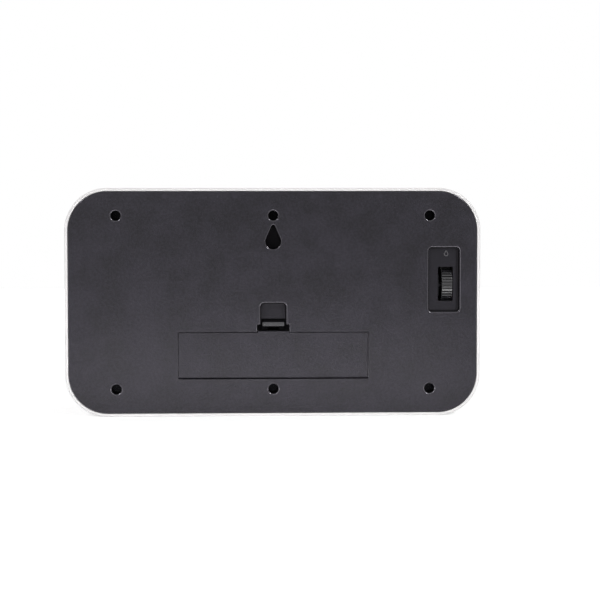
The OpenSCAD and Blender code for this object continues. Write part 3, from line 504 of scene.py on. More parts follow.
def put_in_scene(name: str, data: bpy.types.ID) -> bpy.types.Object:
    """Returns a new object that is in the scene."""
    made = bpy.data.objects.new(name, data)
    bpy.context.scene.collection.objects.link(made)
    return made


def grown(w: float, h: float, r: float, grow: float, y: float, x: float, z: float) -> Loop:
    """Returns the loop of a rounded rectangle that is larger by grow on each side."""
    return (w + 2 * grow, h + 2 * grow, r + grow, y, x, z)


class Form:
    """A mesh in millimetres that is shaped step by step."""

    def __init__(self) -> None:
        """Starts with nothing in it."""
        self.bm = bmesh.new()
        self.rings: list[Edges] = []

    def rounded_face(self, loop: Loop, steps: int) -> bmesh.types.BMFace:
        """Adds a rounded rectangle that stands in the XZ plane.

        Args:
            loop: Its width, height, corner radius, Y, middle X and middle Z.
            steps: The edges in each corner.

        Returns:
            The face.
        """
        w, h, r, y, x, z = loop
        verts = bmesh.ops.create_circle(self.bm, cap_ends=True, segments=4, radius=math.sqrt(0.5),
                                        matrix=Matrix.Rotation(math.radians(45), 4, "Z"))["verts"]
        bmesh.ops.scale(self.bm, vec=(w, h, 1.0), verts=verts)
        bmesh.ops.rotate(self.bm, cent=(0, 0, 0), matrix=UPRIGHT, verts=verts)
        bmesh.ops.translate(self.bm, vec=(x, y, z), verts=verts)
        out = bmesh.ops.bevel(self.bm, geom=verts, offset=r, offset_type="OFFSET", segments=steps,
                              profile=0.5, material=-1, affect="VERTICES")
        return out["verts"][0].link_faces[0]

    def loft(self, loops: Sequence[Loop], steps: int = 8, ring: bool = False) -> Self:
        """Joins rounded rectangles into one closed form.

        Args:
            loops: Width, height, corner radius, Y, middle X and middle Z of each.
            steps: The edges in each corner.
            ring: Whether the last joins the first, with no caps.

        Returns:
            The form, whose rings are the edges of each rectangle.
        """
        return self.join([self.rounded_face(loop, steps) for loop in loops], ring)

    def join(self, faces: Sequence[bmesh.types.BMFace], ring: bool) -> Self:
        """Bridges faces one after the other into a closed form.

        Args:
            faces: The faces, in order.
            ring: Whether the last joins the first, with no caps.

        Returns:
            The form, whose rings are the edges of each face.
        """
        self.rings = [list(face.edges) for face in faces]
        bmesh.ops.delete(self.bm, geom=list(faces) if ring else list(faces[1:-1]), context="FACES_ONLY")
        pairs = list(zip(self.rings, self.rings[1:])) + ([(self.rings[-1], self.rings[0])] if ring else [])
        for a, b in pairs:
            bmesh.ops.bridge_loops(self.bm, edges=a + b)
        self.face_out()
        return self

    def teardrop(self, verts: Sequence[bmesh.types.BMVert], big: float, tip: float, rise: float) -> None:
        """Moves the points of a unit circle onto a teardrop that points up.

        Args:
            verts: The circle's points, in the XZ plane round the origin.
            big: The radius at the bottom.
            tip: The radius at the tip.
            rise: How far the tip's centre is over the other.
        """
        lean = math.asin((big - tip) / rise)
        straight = 0.7
        start = Vector((big * math.cos(lean), 0, big * math.sin(lean)))
        end = Vector((tip * math.cos(lean), 0, rise + tip * math.sin(lean)))
        for v in verts:
            a = math.atan2(v.co.z, v.co.x)
            side = 1.0 if math.cos(a) >= 0 else -1.0
            up = math.asin(max(-1.0, min(1.0, math.sin(a))))
            share = (up - lean) / (math.pi / 2 - lean)
            if up <= lean:
                co = Vector((big * math.cos(up), 0, big * math.sin(up)))
            elif share <= straight:
                co = start.lerp(end, share / straight)
            else:
                turn = lean + (share - straight) / (1 - straight) * (math.pi / 2 - lean)
                co = Vector((tip * math.cos(turn), 0, rise + tip * math.sin(turn)))
            v.co = Vector((side * co.x, 0, co.z))

    def teardrops(self, sizes: Triple, levels: Sequence[Point], at: Point, ring: bool = False) -> Self:
        """Joins teardrops into one form.

        Args:
            sizes: The radius at the bottom, that at the tip, and how far the tip's centre is up.
            levels: How much larger each one is, and its Y.
            at: The lower centre's X and Z.
            ring: Whether the last joins the first, with no caps.

        Returns:
            The form.
        """
        big, tip, rise = sizes
        faces = []
        for grow, y in levels:
            verts = bmesh.ops.create_circle(self.bm, cap_ends=True, segments=72, radius=1.0,
                                            matrix=UPRIGHT.to_4x4())["verts"]
            self.teardrop(verts, big + grow, tip + grow, rise)
            bmesh.ops.translate(self.bm, vec=(at[0], y, at[1]), verts=verts)
            faces.append(verts[0].link_faces[0])
        return self.join(faces, ring)

    def block(self, low: Place, high: Place) -> Self:
        """Adds a box.

        Args:
            low: Its left, front and lower corner.
            high: The corner across from it.

        Returns:
            The form.
        """
        made = bmesh.ops.create_cube(self.bm, size=1.0)["verts"]
        bmesh.ops.scale(self.bm, vec=[b - a for a, b in zip(low, high)], verts=made)
        bmesh.ops.translate(self.bm, vec=[(a + b) / 2 for a, b in zip(low, high)], verts=made)
        return self

    def lathe(self, outline: Sequence[Point], at: Place, axis: str, steps: int,
              closed: bool = False) -> Self:
        """Turns an outline once round an axis.

        Args:
            outline: Radius and place along the axis of each point.
            at: A point on the axis, from which the places are measured.
            axis: X, Y or Z.
            steps: The parts of the full turn.
            closed: Whether the outline's last point joins its first.

        Returns:
            The form.
        """
        along = AXES[axis]
        out = AXES["X" if axis == "Z" else "Z"]
        verts = [self.bm.verts.new(Vector(at) + out * r + along * t) for r, t in outline]
        ends = list(zip(verts, verts[1:])) + ([(verts[-1], verts[0])] if closed else [])
        edges = [self.bm.edges.new(pair) for pair in ends]
        bmesh.ops.spin(self.bm, geom=verts + edges, cent=at, axis=along, dvec=(0, 0, 0), angle=math.tau,
                       steps=steps, use_merge=True, use_duplicate=False)
        bmesh.ops.remove_doubles(self.bm, verts=list(self.bm.verts), dist=CLOSE)
        self.face_out()
        return self

    def rod(self, low: float, high: float, at: Place, d: float, axis: str, steps: int = 32) -> Self:
        """Adds a plain rod.

        Args:
            low: Where it starts along its axis.
            high: Where it ends.
            at: A point on the axis, from which both are measured.
            d: Its diameter.
            axis: X, Y or Z.
            steps: The parts of the full turn.

        Returns:
            The form.
        """
        return self.lathe([(0.0, low), (d / 2, low), (d / 2, high), (0.0, high)], at, axis, steps)

    def extrude(self, vec: Place) -> None:
        """Draws the flat form out into a solid.

        Args:
            vec: How far, and which way.
        """
        out = bmesh.ops.extrude_face_region(self.bm, geom=list(self.bm.faces))
        moved = [g for g in out["geom"] if isinstance(g, bmesh.types.BMVert)]
        bmesh.ops.translate(self.bm, vec=vec, verts=moved)
        self.face_out()

    def move(self, vec: Place) -> None:
        """Moves the form."""
        bmesh.ops.translate(self.bm, vec=vec, verts=list(self.bm.verts))

    def bevel(self, edges: Iterable[bmesh.types.BMEdge], width: float, steps: int) -> None:
        """Rounds edges.

        Args:
            edges: The edges.
            width: How far the rounding reaches from each.
            steps: The strips in it.
        """
        chosen = [e for e in dict.fromkeys(edges) if e.is_valid]
        bmesh.ops.bevel(self.bm, geom=chosen, offset=width, offset_type="OFFSET", segments=steps,
                        profile=0.5, material=-1, affect="EDGES", clamp_overlap=True)

    def edges_at(self, axis: int, place: float, above: float = -math.inf) -> Edges:
        """Finds the sharp edges in a plane across an axis.

        Args:
            axis: 0, 1 or 2 for X, Y or Z.
            place: Where the plane is along it.
            above: The height that an edge's upper end has to pass.

        Returns:
            The edges.
        """
        return [e for e in self.bm.edges
                if all(abs(v.co[axis] - place) < 1e-3 for v in e.verts)
                and max(v.co.z for v in e.verts) > above
                and len(e.link_faces) == 2 and e.calc_face_angle(0.0) > math.radians(25)]

    def face_out(self) -> None:
        """Turns every face outwards."""
        bmesh.ops.recalc_face_normals(self.bm, faces=list(self.bm.faces))

    def object(self, name: str) -> bpy.types.Object:
        """Makes the form an object in metres, in place, and lets its mesh go.

        Args:
            name: The object's name.

        Returns:
            The object.
        """
        bmesh.ops.remove_doubles(self.bm, verts=list(self.bm.verts), dist=CLOSE)
        for v in self.bm.verts:
            v.co = Vector(round(c, 4) for c in v.co)
        bmesh.ops.scale(self.bm, vec=(MM, MM, MM), verts=list(self.bm.verts))
        mesh = bpy.data.meshes.new(name)
        self.bm.to_mesh(mesh)
        self.bm.free()
        return put_in_scene(name, mesh)


def drop(piece: bpy.types.Object) -> None:
    """Removes an object and its mesh."""
    mesh = piece.data
    bpy.data.objects.remove(piece)
    bpy.data.meshes.remove(mesh)


def combine(target: bpy.types.Object, tool: Form, operation: str) -> None:
    """Joins a form to an object or cuts it out, and lets the form go.

    Args:
        target: The object that changes.
        tool: The form that is joined or cut.
        operation: UNION or DIFFERENCE.
    """
    other = tool.object("tool")
    step = target.modifiers.new("step", "BOOLEAN")
    step.operation = operation
    step.solver = "EXACT"
    step.object = other
    bpy.context.view_layer.update()
    graph = bpy.context.evaluated_depsgraph_get()
    mesh = bpy.data.meshes.new_from_object(target.evaluated_get(graph))
    target.modifiers.remove(step)
    bm = bmesh.new()
    bm.from_mesh(mesh)
    bmesh.ops.remove_doubles(bm, verts=list(bm.verts), dist=2 * CLOSE * MM)
    bmesh.ops.dissolve_degenerate(bm, edges=list(bm.edges), dist=2 * CLOSE * MM)
    bm.to_mesh(mesh)
    bm.free()
    old = target.data
    target.data = mesh
    mesh.name = target.name
    bpy.data.meshes.remove(old)
    drop(other)


def add(target: bpy.types.Object, tool: Form) -> None:
    """Joins a form to an object."""
    combine(target, tool, "UNION")


def cut(target: bpy.types.Object, tool: Form) -> None:
    """Cuts a form out of an object."""
    combine(target, tool, "DIFFERENCE")


def dress(piece: bpy.types.Object, finish: Finish, body: Body, nodes: Sequence[str] = (),
          angle: float = 32.0) -> bpy.types.Object:
    """Smooths a piece, paints it and lets it ride.

    Args:
        piece: The piece.
        finish: Its finish.
        body: The body that it moves with.
        nodes: The CAD nodes that it stands for.
        angle: Edges sharper than this many degrees stay sharp.

    Returns:
        The piece.
    """
    mesh = piece.data
    mesh.materials.clear()
    mesh.materials.append(Paint.of(finish))
    mesh.polygons.foreach_set("use_smooth", [True] * len(mesh.polygons))
    mesh.set_sharp_from_angle(angle=math.radians(angle))
    weights = piece.modifiers.new("flat_faces_lead", "WEIGHTED_NORMAL")
    weights.keep_sharp = True
    weights.weight = 100
    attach(piece, body.value)
    if nodes:
        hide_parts(*nodes)
    LOG.info("%s rides on %s", piece.name, body.value)
    return piece


# The clock


@dataclass
class Outline:
    """The case's outline and screws, which several pieces follow."""

    w: float = 249.0
    h: float = 137.0
    r: float = 25.5
    wall: float = 1.8
    gap: float = 0.2
    front: float = -43.0
    back: float = 43.0
    steps: int = 20
    screw_x: float = 94.0
    screw_z: float = 52.0

    @property
    def z_mid(self) -> float:
        """The height of the case's middle."""
        return self.h / 2

    @property
    def inset(self) -> float:
        """How far the panel and the cover stand in from the outline."""
        return self.wall + self.gap

    def loop(self, inset: float, y: float) -> Loop:
        """Returns the outline taken in by inset, at y, as a loop for a loft."""
        return grown(self.w, self.h, self.r, -inset, y, 0.0, self.z_mid)

    def screws(self) -> list[Point]:
        """Returns the X and Z of the six screws."""
        columns = (-self.screw_x, 0.0, self.screw_x)
        return [(x, self.z_mid + s * self.screw_z) for x in columns for s in (-1, 1)]


@dataclass
class CaseShell:
    """The white case: one band round the clock with a frame at its front."""

    outline: Outline
    bezel: float = 5.0
    recess: float = 2.5
    front_round: float = 2.4
    lip_round: float = 0.7
    rear_round: float = 0.5
    boss_d: float = 7.0
    boss_y: Point = (13.0, 31.0)
    bore_d: float = 2.4
    web_half: float = 1.0
    web_step: float = 0.5
    post_x: float = 94.6
    post_y: Point = (-29.5, -2.5)
    post_top: float = 7.0

    def build(self) -> bpy.types.Object:
        """Builds the shell with its bosses and returns it."""
        o = self.outline
        floor_y = o.front + self.recess
        loops = [o.loop(0, o.front), o.loop(0, o.back), o.loop(o.wall, o.back), o.loop(o.wall, floor_y),
                 o.loop(self.bezel, floor_y), o.loop(self.bezel, o.front)]
        form = Form().loft(loops, o.steps, ring=True)
        form.bevel(form.rings[0], self.front_round, 6)
        form.bevel(form.rings[1], self.rear_round, 3)
        form.bevel(form.rings[2], self.rear_round / 2, 2)
        form.bevel(form.rings[5], self.lip_round, 4)
        shell = form.object("case_shell")
        self.add_bosses(shell)
        return dress(shell, WHITE_SHELL, Body.CLOCK, ["front_case"])

    def add_bosses(self, shell: bpy.types.Object) -> None:
        """Adds the screw bosses with their webs, and the posts under the frame.

        Args:
            shell: The shell.
        """
        o, low, (start, end) = self.outline, self.outline.wall / 2, self.boss_y
        for x, z in o.screws():
            edge = o.h - low if z > o.z_mid else low
            add(shell, Form().rod(start, end, (x, 0, z), self.boss_d, "Y"))
            add(shell, Form().block((x - self.web_half, start + self.web_step, min(z, edge)),
                                    (x + self.web_half, end - self.web_step, max(z, edge))))
            cut(shell, Form().rod(start - 1, end + 1, (x, 0, z), self.bore_d, "Y", 20))
        r, bore, top = self.boss_d / 2, self.bore_d / 2, self.post_top
        for x in (-self.post_x, self.post_x):
            for y in self.post_y:
                post = [(0, low), (r, low), (r, top), (bore, top), (bore, o.wall), (0, o.wall)]
                add(shell, Form().lathe(post, (x, y, 0), "Z", 28))


@dataclass
class FacePanel:
    """The black panel with the two windows."""

    outline: Outline
    window_x: float = 51.5
    window: Triple = (92.0, 80.0, 3.0)
    front: float = -40.5
    thick: float = 2.0
    flare: float = 0.9

    def build(self) -> bpy.types.Object:
        """Builds the panel with rounded window edges and returns it."""
        o = self.outline
        rear = self.front + self.thick
        panel = Form().loft([o.loop(o.inset, y) for y in (self.front, rear)], o.steps).object("face_panel")
        turns = [math.radians(15 * k) for k in range(7)]
        edge = [(self.flare * (1 - math.sin(a)), self.front + self.flare * (1 - math.cos(a))) for a in turns]
        levels = [(self.flare, self.front - 1), *edge, (0.0, rear + 1)]
        for x in (-self.window_x, self.window_x):
            cut(panel, Form().loft([grown(*self.window, out, y, x, o.z_mid) for out, y in levels], 6))
        return dress(panel, BLACK_FACE, Body.CLOCK, ["face_plate"])


@dataclass
class BackCover:
    """The black cover with its screw wells, keyhole, wheel pocket and door opening."""

    outline: Outline
    inner: float = 40.0
    edge_round: float = 0.35
    wall: float = 1.5
    tube_y: float = 31.0
    well_d: float = 5.8
    well_depth: float = 10.0
    well_round: float = 0.75
    hole_y: float = 30.0
    hole_d: float = 2.8
    key_z: float = 105.0
    key_d: float = 9.4
    key_tip_d: float = 2.3
    key_rise: float = 8.8
    key_round: float = 0.55
    key_room_half_w: float = 6.5
    key_room_y: float = 32.7
    key_room_z: Point = (-6.2, 12.0)
    pocket_x: float = -102.7
    pocket_z: float = 82.0
    pocket_w: float = 20.2
    pocket_h: float = 40.2
    pocket_r: float = 2.0
    lip_round: float = 0.8
    coves: tuple[Point, ...] = ((0.0, 1.0), (0.15, 0.62), (0.4, 0.33), (0.8, 0.15))
    cove_size: Triple = (2.4, 1.5, 0.6)
    cove_shift: Point = (0.75, 0.1)
    slot: Triple = (9.1, 20.6, 0.5)
    slot_at: Point = (-103.8, 79.3)
    door_half_w: float = 57.1
    door_z: Point = (22.42, 50.7)
    door_r: float = 0.4
    seam_round: float = 0.12
    notch_half_w: float = 9.7
    notch_top: float = 55.2
    notch_round: float = 0.5
    recess_half_w: float = 7.6
    recess_wall_half_w: float = 9.55
    recess_y: float = 38.0
    recess_z: Point = (50.0, 67.95)
    recess_r: float = 2.2
    recess_round: float = 1.0
    recess_coves: tuple[Point, ...] = ((-0.9, 0.0), (-0.45, 0.15), (-0.15, 0.5), (0.0, 1.1))
    latch_room_y: float = 34.0
    latch_room_z: Point = (51.4, 58.4)
    board_x: Point = (23.5, 76.5)
    board_z: Point = (86.0, 107.0)
    board_post_y: float = 32.6
    board_post_d: float = 5.0
    seat_x: float = 58.1
    seat_half: float = 1.2
    seat_d: float = 1.8
    seat_y: float = 41.7
    seat_z: float = 23.9
    nick_z: float = 33.8
    nick_d: float = 1.1
    nick_depth: float = 0.7

    def build(self) -> bpy.types.Object:
        """Builds the cover and returns it."""
        o = self.outline
        form = Form().loft([o.loop(o.inset, self.inner), o.loop(o.inset, o.back)], o.steps)
        form.bevel(form.rings[1], self.edge_round, 3)
        cover = form.object("back_cover")
        for step in (self.add_walls, self.cut_rooms, self.cut_wells, self.cut_keyhole, self.cut_pocket,
                     self.cut_door, self.cut_recess, self.cut_seats, self.cut_nick):
            step(cover)
        dress(cover, BLACK_BACK, Body.CLOCK, ["rear_cover"])
        self.add_zones(cover)
        return cover

    def add_zones(self, cover: bpy.types.Object) -> None:
        """Gives the lips their polish from the mould, and paints shade: a darker black on the floors of the
        recess and the pocket, and a darker one still in the hollows.

        Args:
            cover: The cover.
        """
        mesh = cover.data
        for finish in (BLACK_LIP, PAINTED_DEEP_SHADE, PAINTED_FLOOR_SHADE):
            mesh.materials.append(Paint.of(finish))
        # Slots 2 and 3 hold painted shade: the darkest black, and the darker black of the floors.
        lip, painted_deep_index, recess = 1, 2, 3
        near, back = 0.1, self.outline.back
        lip_y, pocket_lip_y = back - 1.0, back - 0.9
        flat, lip_low, lip_high = 0.9, 0.2, 0.98
        for face in mesh.polygons:
            x, y, z = face.center / MM
            in_recess = (abs(x) < self.recess_half_w + 1 and self.notch_top < z < self.recess_z[1] + 1
                         and y > self.recess_y - near)
            in_pocket = (abs(x - self.pocket_x) < self.pocket_w / 2
                         and abs(z - self.pocket_z) < self.pocket_h / 2)
            on_floor = (y < self.recess_y + near if in_recess
                        else in_pocket and abs(y - self.inner) < near / 2)
            # Painted shade: the floors of the recess and the pocket take the darker floor black.
            if face.normal.y > flat and on_floor:
                face.material_index = recess
            # Painted shade: the faces behind the plate and the pocket's coves and walls take the darkest
            # black.
            elif y < self.inner - near or (in_pocket and y < pocket_lip_y):
                face.material_index = painted_deep_index
            elif y > lip_y and lip_low < face.normal.y < lip_high:
                face.material_index = lip

    def add_walls(self, cover: bpy.types.Object) -> None:
        """Adds the wells' tubes, the walls of the rooms behind the cover and the board's posts.

        Args:
            cover: The cover.
        """
        t, end = self.wall, self.inner + 1
        for x, z in self.outline.screws():
            add(cover, Form().rod(self.tube_y, end, (x, 0, z), self.well_d + 2 * t, "Y", 40))
        pocket_w, pocket_h = self.pocket_w / 2, self.pocket_h / 2
        key_w, notch_w = self.key_room_half_w + t, self.notch_half_w + t
        key_low, key_top = (self.key_z + z for z in self.key_room_z)
        low, top = self.latch_room_z
        for a, b in (
            ((self.pocket_x - pocket_w, self.inner - t, self.pocket_z - pocket_h),
             (self.pocket_x + pocket_w, end, self.pocket_z + pocket_h)),
            ((-key_w, self.key_room_y - t, key_low - t), (key_w, end, key_top + t)),
            ((-notch_w, self.latch_room_y - t, low), (notch_w, end, top + t)),
            ((-self.recess_wall_half_w, self.recess_y - t, top - 1),
             (self.recess_wall_half_w, end, self.recess_z[1] + t)),
        ):
            add(cover, Form().block(a, b))
        for x in self.board_x:
            for z in self.board_z:
                add(cover, Form().rod(self.board_post_y, end, (x, 0, z), self.board_post_d, "Y", 24))

    def cut_rooms(self, cover: bpy.types.Object) -> None:
        """Hollows out the keyhole's room and the latch's room.

        Args:
            cover: The cover.
        """
        key_low, key_top = (self.key_z + z for z in self.key_room_z)
        low, top = self.latch_room_z
        for half_w, y, z0, z1 in ((self.key_room_half_w, self.key_room_y, key_low, key_top),
                                  (self.notch_half_w, self.latch_room_y, low - 1, top)):
            cut(cover, Form().block((-half_w, y, z0), (half_w, self.inner, z1)))

    def cut_wells(self, cover: bpy.types.Object) -> None:
        """Cuts the screw wells with rounded mouths, and the screws' holes.

        Args:
            cover: The cover.
        """
        r, floor = self.well_d / 2, self.outline.back - self.well_depth
        mouth = [(r + grow, y) for grow, y in self.rounding(self.well_round)]
        profile = [(0, floor), (r, floor), *mouth, (0, mouth[-1][1])]
        for x, z in self.outline.screws():
            cut(cover, Form().lathe(profile, (x, 0, z), "Y", 56))
            cut(cover, Form().rod(self.hole_y, floor + 0.5, (x, 0, z), self.hole_d, "Y", 20))

    def cut_keyhole(self, cover: bpy.types.Object) -> None:
        """Cuts the teardrop through the plate, with a rounded edge.

        Args:
            cover: The cover.
        """
        sizes = (self.key_d / 2, self.key_tip_d / 2, self.key_rise)
        levels = [(0.0, self.inner - 0.5), *self.rounding(self.key_round)]
        cut(cover, Form().teardrops(sizes, levels, (0.0, self.key_z)))

    def rounding(self, r: float, past_face: float = 0.2) -> list[Point]:
        """Works out the rounded edge of an opening in the cover.

        Args:
            r: The rounding's radius.
            past_face: How far past the face the last point is.

        Returns:
            How far the edge stands back, and its Y, from inside to past the face.
        """
        back = self.outline.back
        turns = [math.radians(a) for a in (0, 20, 40, 60, 76)]
        points = [(r * (1 - math.cos(a)), back - r * (1 - math.sin(a))) for a in turns]
        grow, y = points[-1]
        past = (back + past_face - y) / math.cos(turns[-1])
        return [*points, (grow + past * math.sin(turns[-1]), back + past_face)]

    def cut_pocket(self, cover: bpy.types.Object) -> None:
        """Cuts the setting wheel's pocket, coved most at its left, and the wheel's slot.

        Args:
            cover: The cover.
        """
        floor, r, (x, z) = self.inner, self.pocket_r, (self.pocket_x, self.pocket_z)
        w, h = self.pocket_w - 2 * self.lip_round, self.pocket_h - 2 * self.lip_round
        (less_w, less_h, less_r), (right, up) = self.cove_size, self.cove_shift
        loops = []
        for rise, inset in (*self.coves, (self.outline.back - self.lip_round - floor, 0.0)):
            loops.append((w - less_w * inset, h - less_h * inset, r - less_r * inset, floor + rise,
                          x + right * inset, z + up * inset))
        loops += [grown(w, h, r, grow, y, x, z) for grow, y in self.rounding(self.lip_round)[1:]]
        cut(cover, Form().loft(loops, 8))
        slot = [grown(*self.slot, 0.0, y, *self.slot_at) for y in (floor - 3, floor + 1)]
        cut(cover, Form().loft(slot, 3))

    def cut_door(self, cover: bpy.types.Object) -> None:
        """Cuts the openings of the battery door and its latch.

        Args:
            cover: The cover.
        """
        low, high = self.door_z
        for half_w, z0, z1, start, r in (
                (self.door_half_w, low, high, self.inner - 0.01, self.seam_round),
                (self.notch_half_w, high - 3, self.notch_top, self.inner - 1, self.notch_round)):
            cut(cover, Form().loft([grown(2 * half_w, z1 - z0, self.door_r, grow, y, 0.0, (z0 + z1) / 2)
                                    for grow, y in ((0.0, start), *self.rounding(r))], 4))

    def cut_recess(self, cover: bpy.types.Object) -> None:
        """Cuts the finger recess, coved at its floor, down to the latch's opening.

        Args:
            cover: The cover.
        """
        low, top = self.recess_z
        loops = []
        for grow, y in (*((grow, self.recess_y + rise) for grow, rise in self.recess_coves),
                        *self.rounding(self.recess_round)):
            h = top + grow - low
            loops.append((2 * self.recess_half_w + 2 * grow, h, self.recess_r + grow, y, 0.0, low + h / 2))
        tool = Form().loft(loops, 8).object("recess_tool")
        cut(tool, Form().block((-20, 30, 40), (20, 50, self.notch_top - 1)))
        upper = Form()
        upper.bm.from_mesh(tool.data)
        bmesh.ops.scale(upper.bm, vec=(1 / MM, 1 / MM, 1 / MM), verts=list(upper.bm.verts))
        drop(tool)
        cut(cover, upper)

    def cut_seats(self, cover: bpy.types.Object) -> None:
        """Cuts the seats of the door's pin, open to the inside.

        Args:
            cover: The cover.
        """
        half, r, y, z = self.seat_half, self.seat_d / 2, self.seat_y, self.seat_z
        for x in (-self.seat_x, self.seat_x):
            cut(cover, Form().block((x - half, self.inner - 1, z - r), (x + half, y, z + r)))
            cut(cover, Form().rod(-half, half, (x, y, z), self.seat_d, "X", 24))

    def cut_nick(self, cover: bpy.types.Object) -> None:
        """Cuts the small nick in the cover's edge.

        Args:
            cover: The cover.
        """
        o = self.outline
        at = (-o.w / 2 + o.inset - 0.15, 0, self.nick_z)
        cut(cover, Form().rod(o.back - self.nick_depth, o.back + 1, at, self.nick_d, "Y", 16))


@dataclass
class ArrowMark:
    """The raised outline of a small arrow over the wheel, which says which way it turns."""

    at: Point = (-104.25, 97.2)
    floor: float = 40.0
    root: float = 0.2
    rise: float = 0.3
    sizes: Triple = (1.3, 0.58, 1.6)
    line: float = 0.5
    chamfer: float = 0.12

    def build(self) -> bpy.types.Object:
        """Builds the arrow and returns it."""
        low, top, line, c = self.floor - self.root, self.floor + self.rise, self.line, self.chamfer
        levels = [(-line, low), (0.0, low), (0.0, top - c), (-c, top), (c - line, top), (-line, top - c)]
        arrow = Form().teardrops(self.sizes, levels, self.at, ring=True).object("arrow_mark")
        # The arrow's lighter grey is a painted highlight.
        return dress(arrow, PAINTED_ARROW_HIGHLIGHT, Body.CLOCK)


@dataclass
class BatteryLid:
    """The battery door: a flat plate with a tab, a hinge pin and the latch's shelf."""

    half_w: float = 56.8
    low: float = 22.6
    top: float = 50.28
    back: float = 43.0
    thick: float = 2.6
    tab_half_w: float = 9.4
    tab_rise: float = 0.9
    shelf_half_w: float = 9.2
    shelf_y: float = 36.1
    shelf_z: Point = (49.7, 51.1)
    edge_round: float = 0.16
    pin_d: float = 1.6
    pin_end: float = 2.0
    ribs_x: tuple[float, ...] = (-42.0, -28.0, -14.0, 14.0, 28.0, 42.0)
    rib: Point = (0.5, 0.4)

    def build(self) -> bpy.types.Object:
        """Builds the door and returns it."""
        inner, top, mid = self.back - self.thick, self.top, self.thick / 2
        form = Form().block((-self.half_w, inner, self.low), (self.half_w, self.back, top))
        form.bevel([e for e in form.edges_at(2, self.low) if abs(e.verts[0].co.x - e.verts[1].co.x) > 1],
                   mid - 0.005, 12)
        form.bevel(form.edges_at(1, self.back, top - 1), self.edge_round, 3)
        lid = form.object("battery_lid")
        tab = Form().block((-self.tab_half_w, inner, top - 1.5),
                           (self.tab_half_w, self.back, top + self.tab_rise))
        tab.bevel(tab.edges_at(1, self.back, top), self.edge_round, 3)
        add(lid, tab)
        reach = self.half_w + self.pin_end
        add(lid, Form().rod(-reach, reach, (0, self.back - mid, self.low + mid), self.pin_d, "X", 24))
        add(lid, Form().block((-self.shelf_half_w, self.shelf_y, self.shelf_z[0]),
                              (self.shelf_half_w, self.back - 1, self.shelf_z[1])))
        half, rise = self.rib
        for x in self.ribs_x:
            add(lid, Form().block((x - half, inner - rise, self.low + 5), (x + half, inner + 0.5, top - 4)))
        return dress(lid, BLACK_BACK, Body.DOOR, ["battery_door"])


@dataclass
class LatchBar:
    """The grey latch: a bar that a fingertip presses, on a leg behind the cover."""

    half_w: float = 6.5
    start: float = 34.8
    bar_y: float = 42.6
    bar_z: Point = (54.15, 56.65)
    leg_y: float = 36.05
    leg_z: Point = (48.45, 57.7)
    foot_y: float = 38.0
    foot_z: Point = (48.45, 49.6)
    edge_round: float = 0.3

    def block(self, y: float, z: Point) -> Form:
        """Returns a block over the latch's whole width, from its inner side to y."""
        return Form().block((-self.half_w, self.start, z[0]), (self.half_w, y, z[1]))

    def build(self) -> bpy.types.Object:
        """Builds the latch and returns it."""
        form = self.block(self.bar_y, self.bar_z)
        form.bevel(form.edges_at(1, self.bar_y), self.edge_round, 3)
        bar = form.object("door_catch")
        add(bar, self.block(self.leg_y, self.leg_z))
        add(bar, self.block(self.foot_y, self.foot_z))
        dress(bar, LATCH_GREY, Body.LATCH, ["door_latch"])
        # Painted shade: the leg and the foot behind the cover take the darkest black, for the shade deep in
        # the latch's room.
        bar.data.materials.append(Paint.of(PAINTED_DEEP_SHADE))
        for face in bar.data.polygons:
            if face.center.y / MM < self.bar_y - 1:
                face.material_index = 1
        return bar


@dataclass
class CatchSpring:
    """The folded strip that lifts the latch, and that the latch presses flatter."""

    half_w: float = 3.25
    y: Point = (36.85, 39.8)
    z: Point = (51.12, 54.12)
    thick: float = 0.325
    fold_round: float = 0.3
    keep: float = 0.6

    def build(self) -> bpy.types.Object:
        """Builds the spring, lets it ride on the door, and returns it."""
        (near, far), (low, high), t = self.y, self.z, self.thick
        mid = (low + high) / 2
        side = [(near, low), (far, low), (far, low + t), (near + 2 * t, mid), (far, high - t), (far, high),
                (near, high), (near, high - t), (far - 4 * t, high - t), (near - t, mid),
                (far - 4 * t, low + t), (near, low + t)]
        form = Form()
        form.bm.faces.new([form.bm.verts.new((-self.half_w, y, z)) for y, z in side])
        form.extrude((2 * self.half_w, 0, 0))
        folds = [e for e in form.bm.edges if all(abs(v.co.z - mid) < 0.01 for v in e.verts)]
        form.bevel(folds, self.fold_round, 4)
        spring = form.object("catch_spring")
        dress(spring, BLACK_OXIDE, Body.DOOR, ["latch_spring"])
        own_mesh(spring)
        return spring


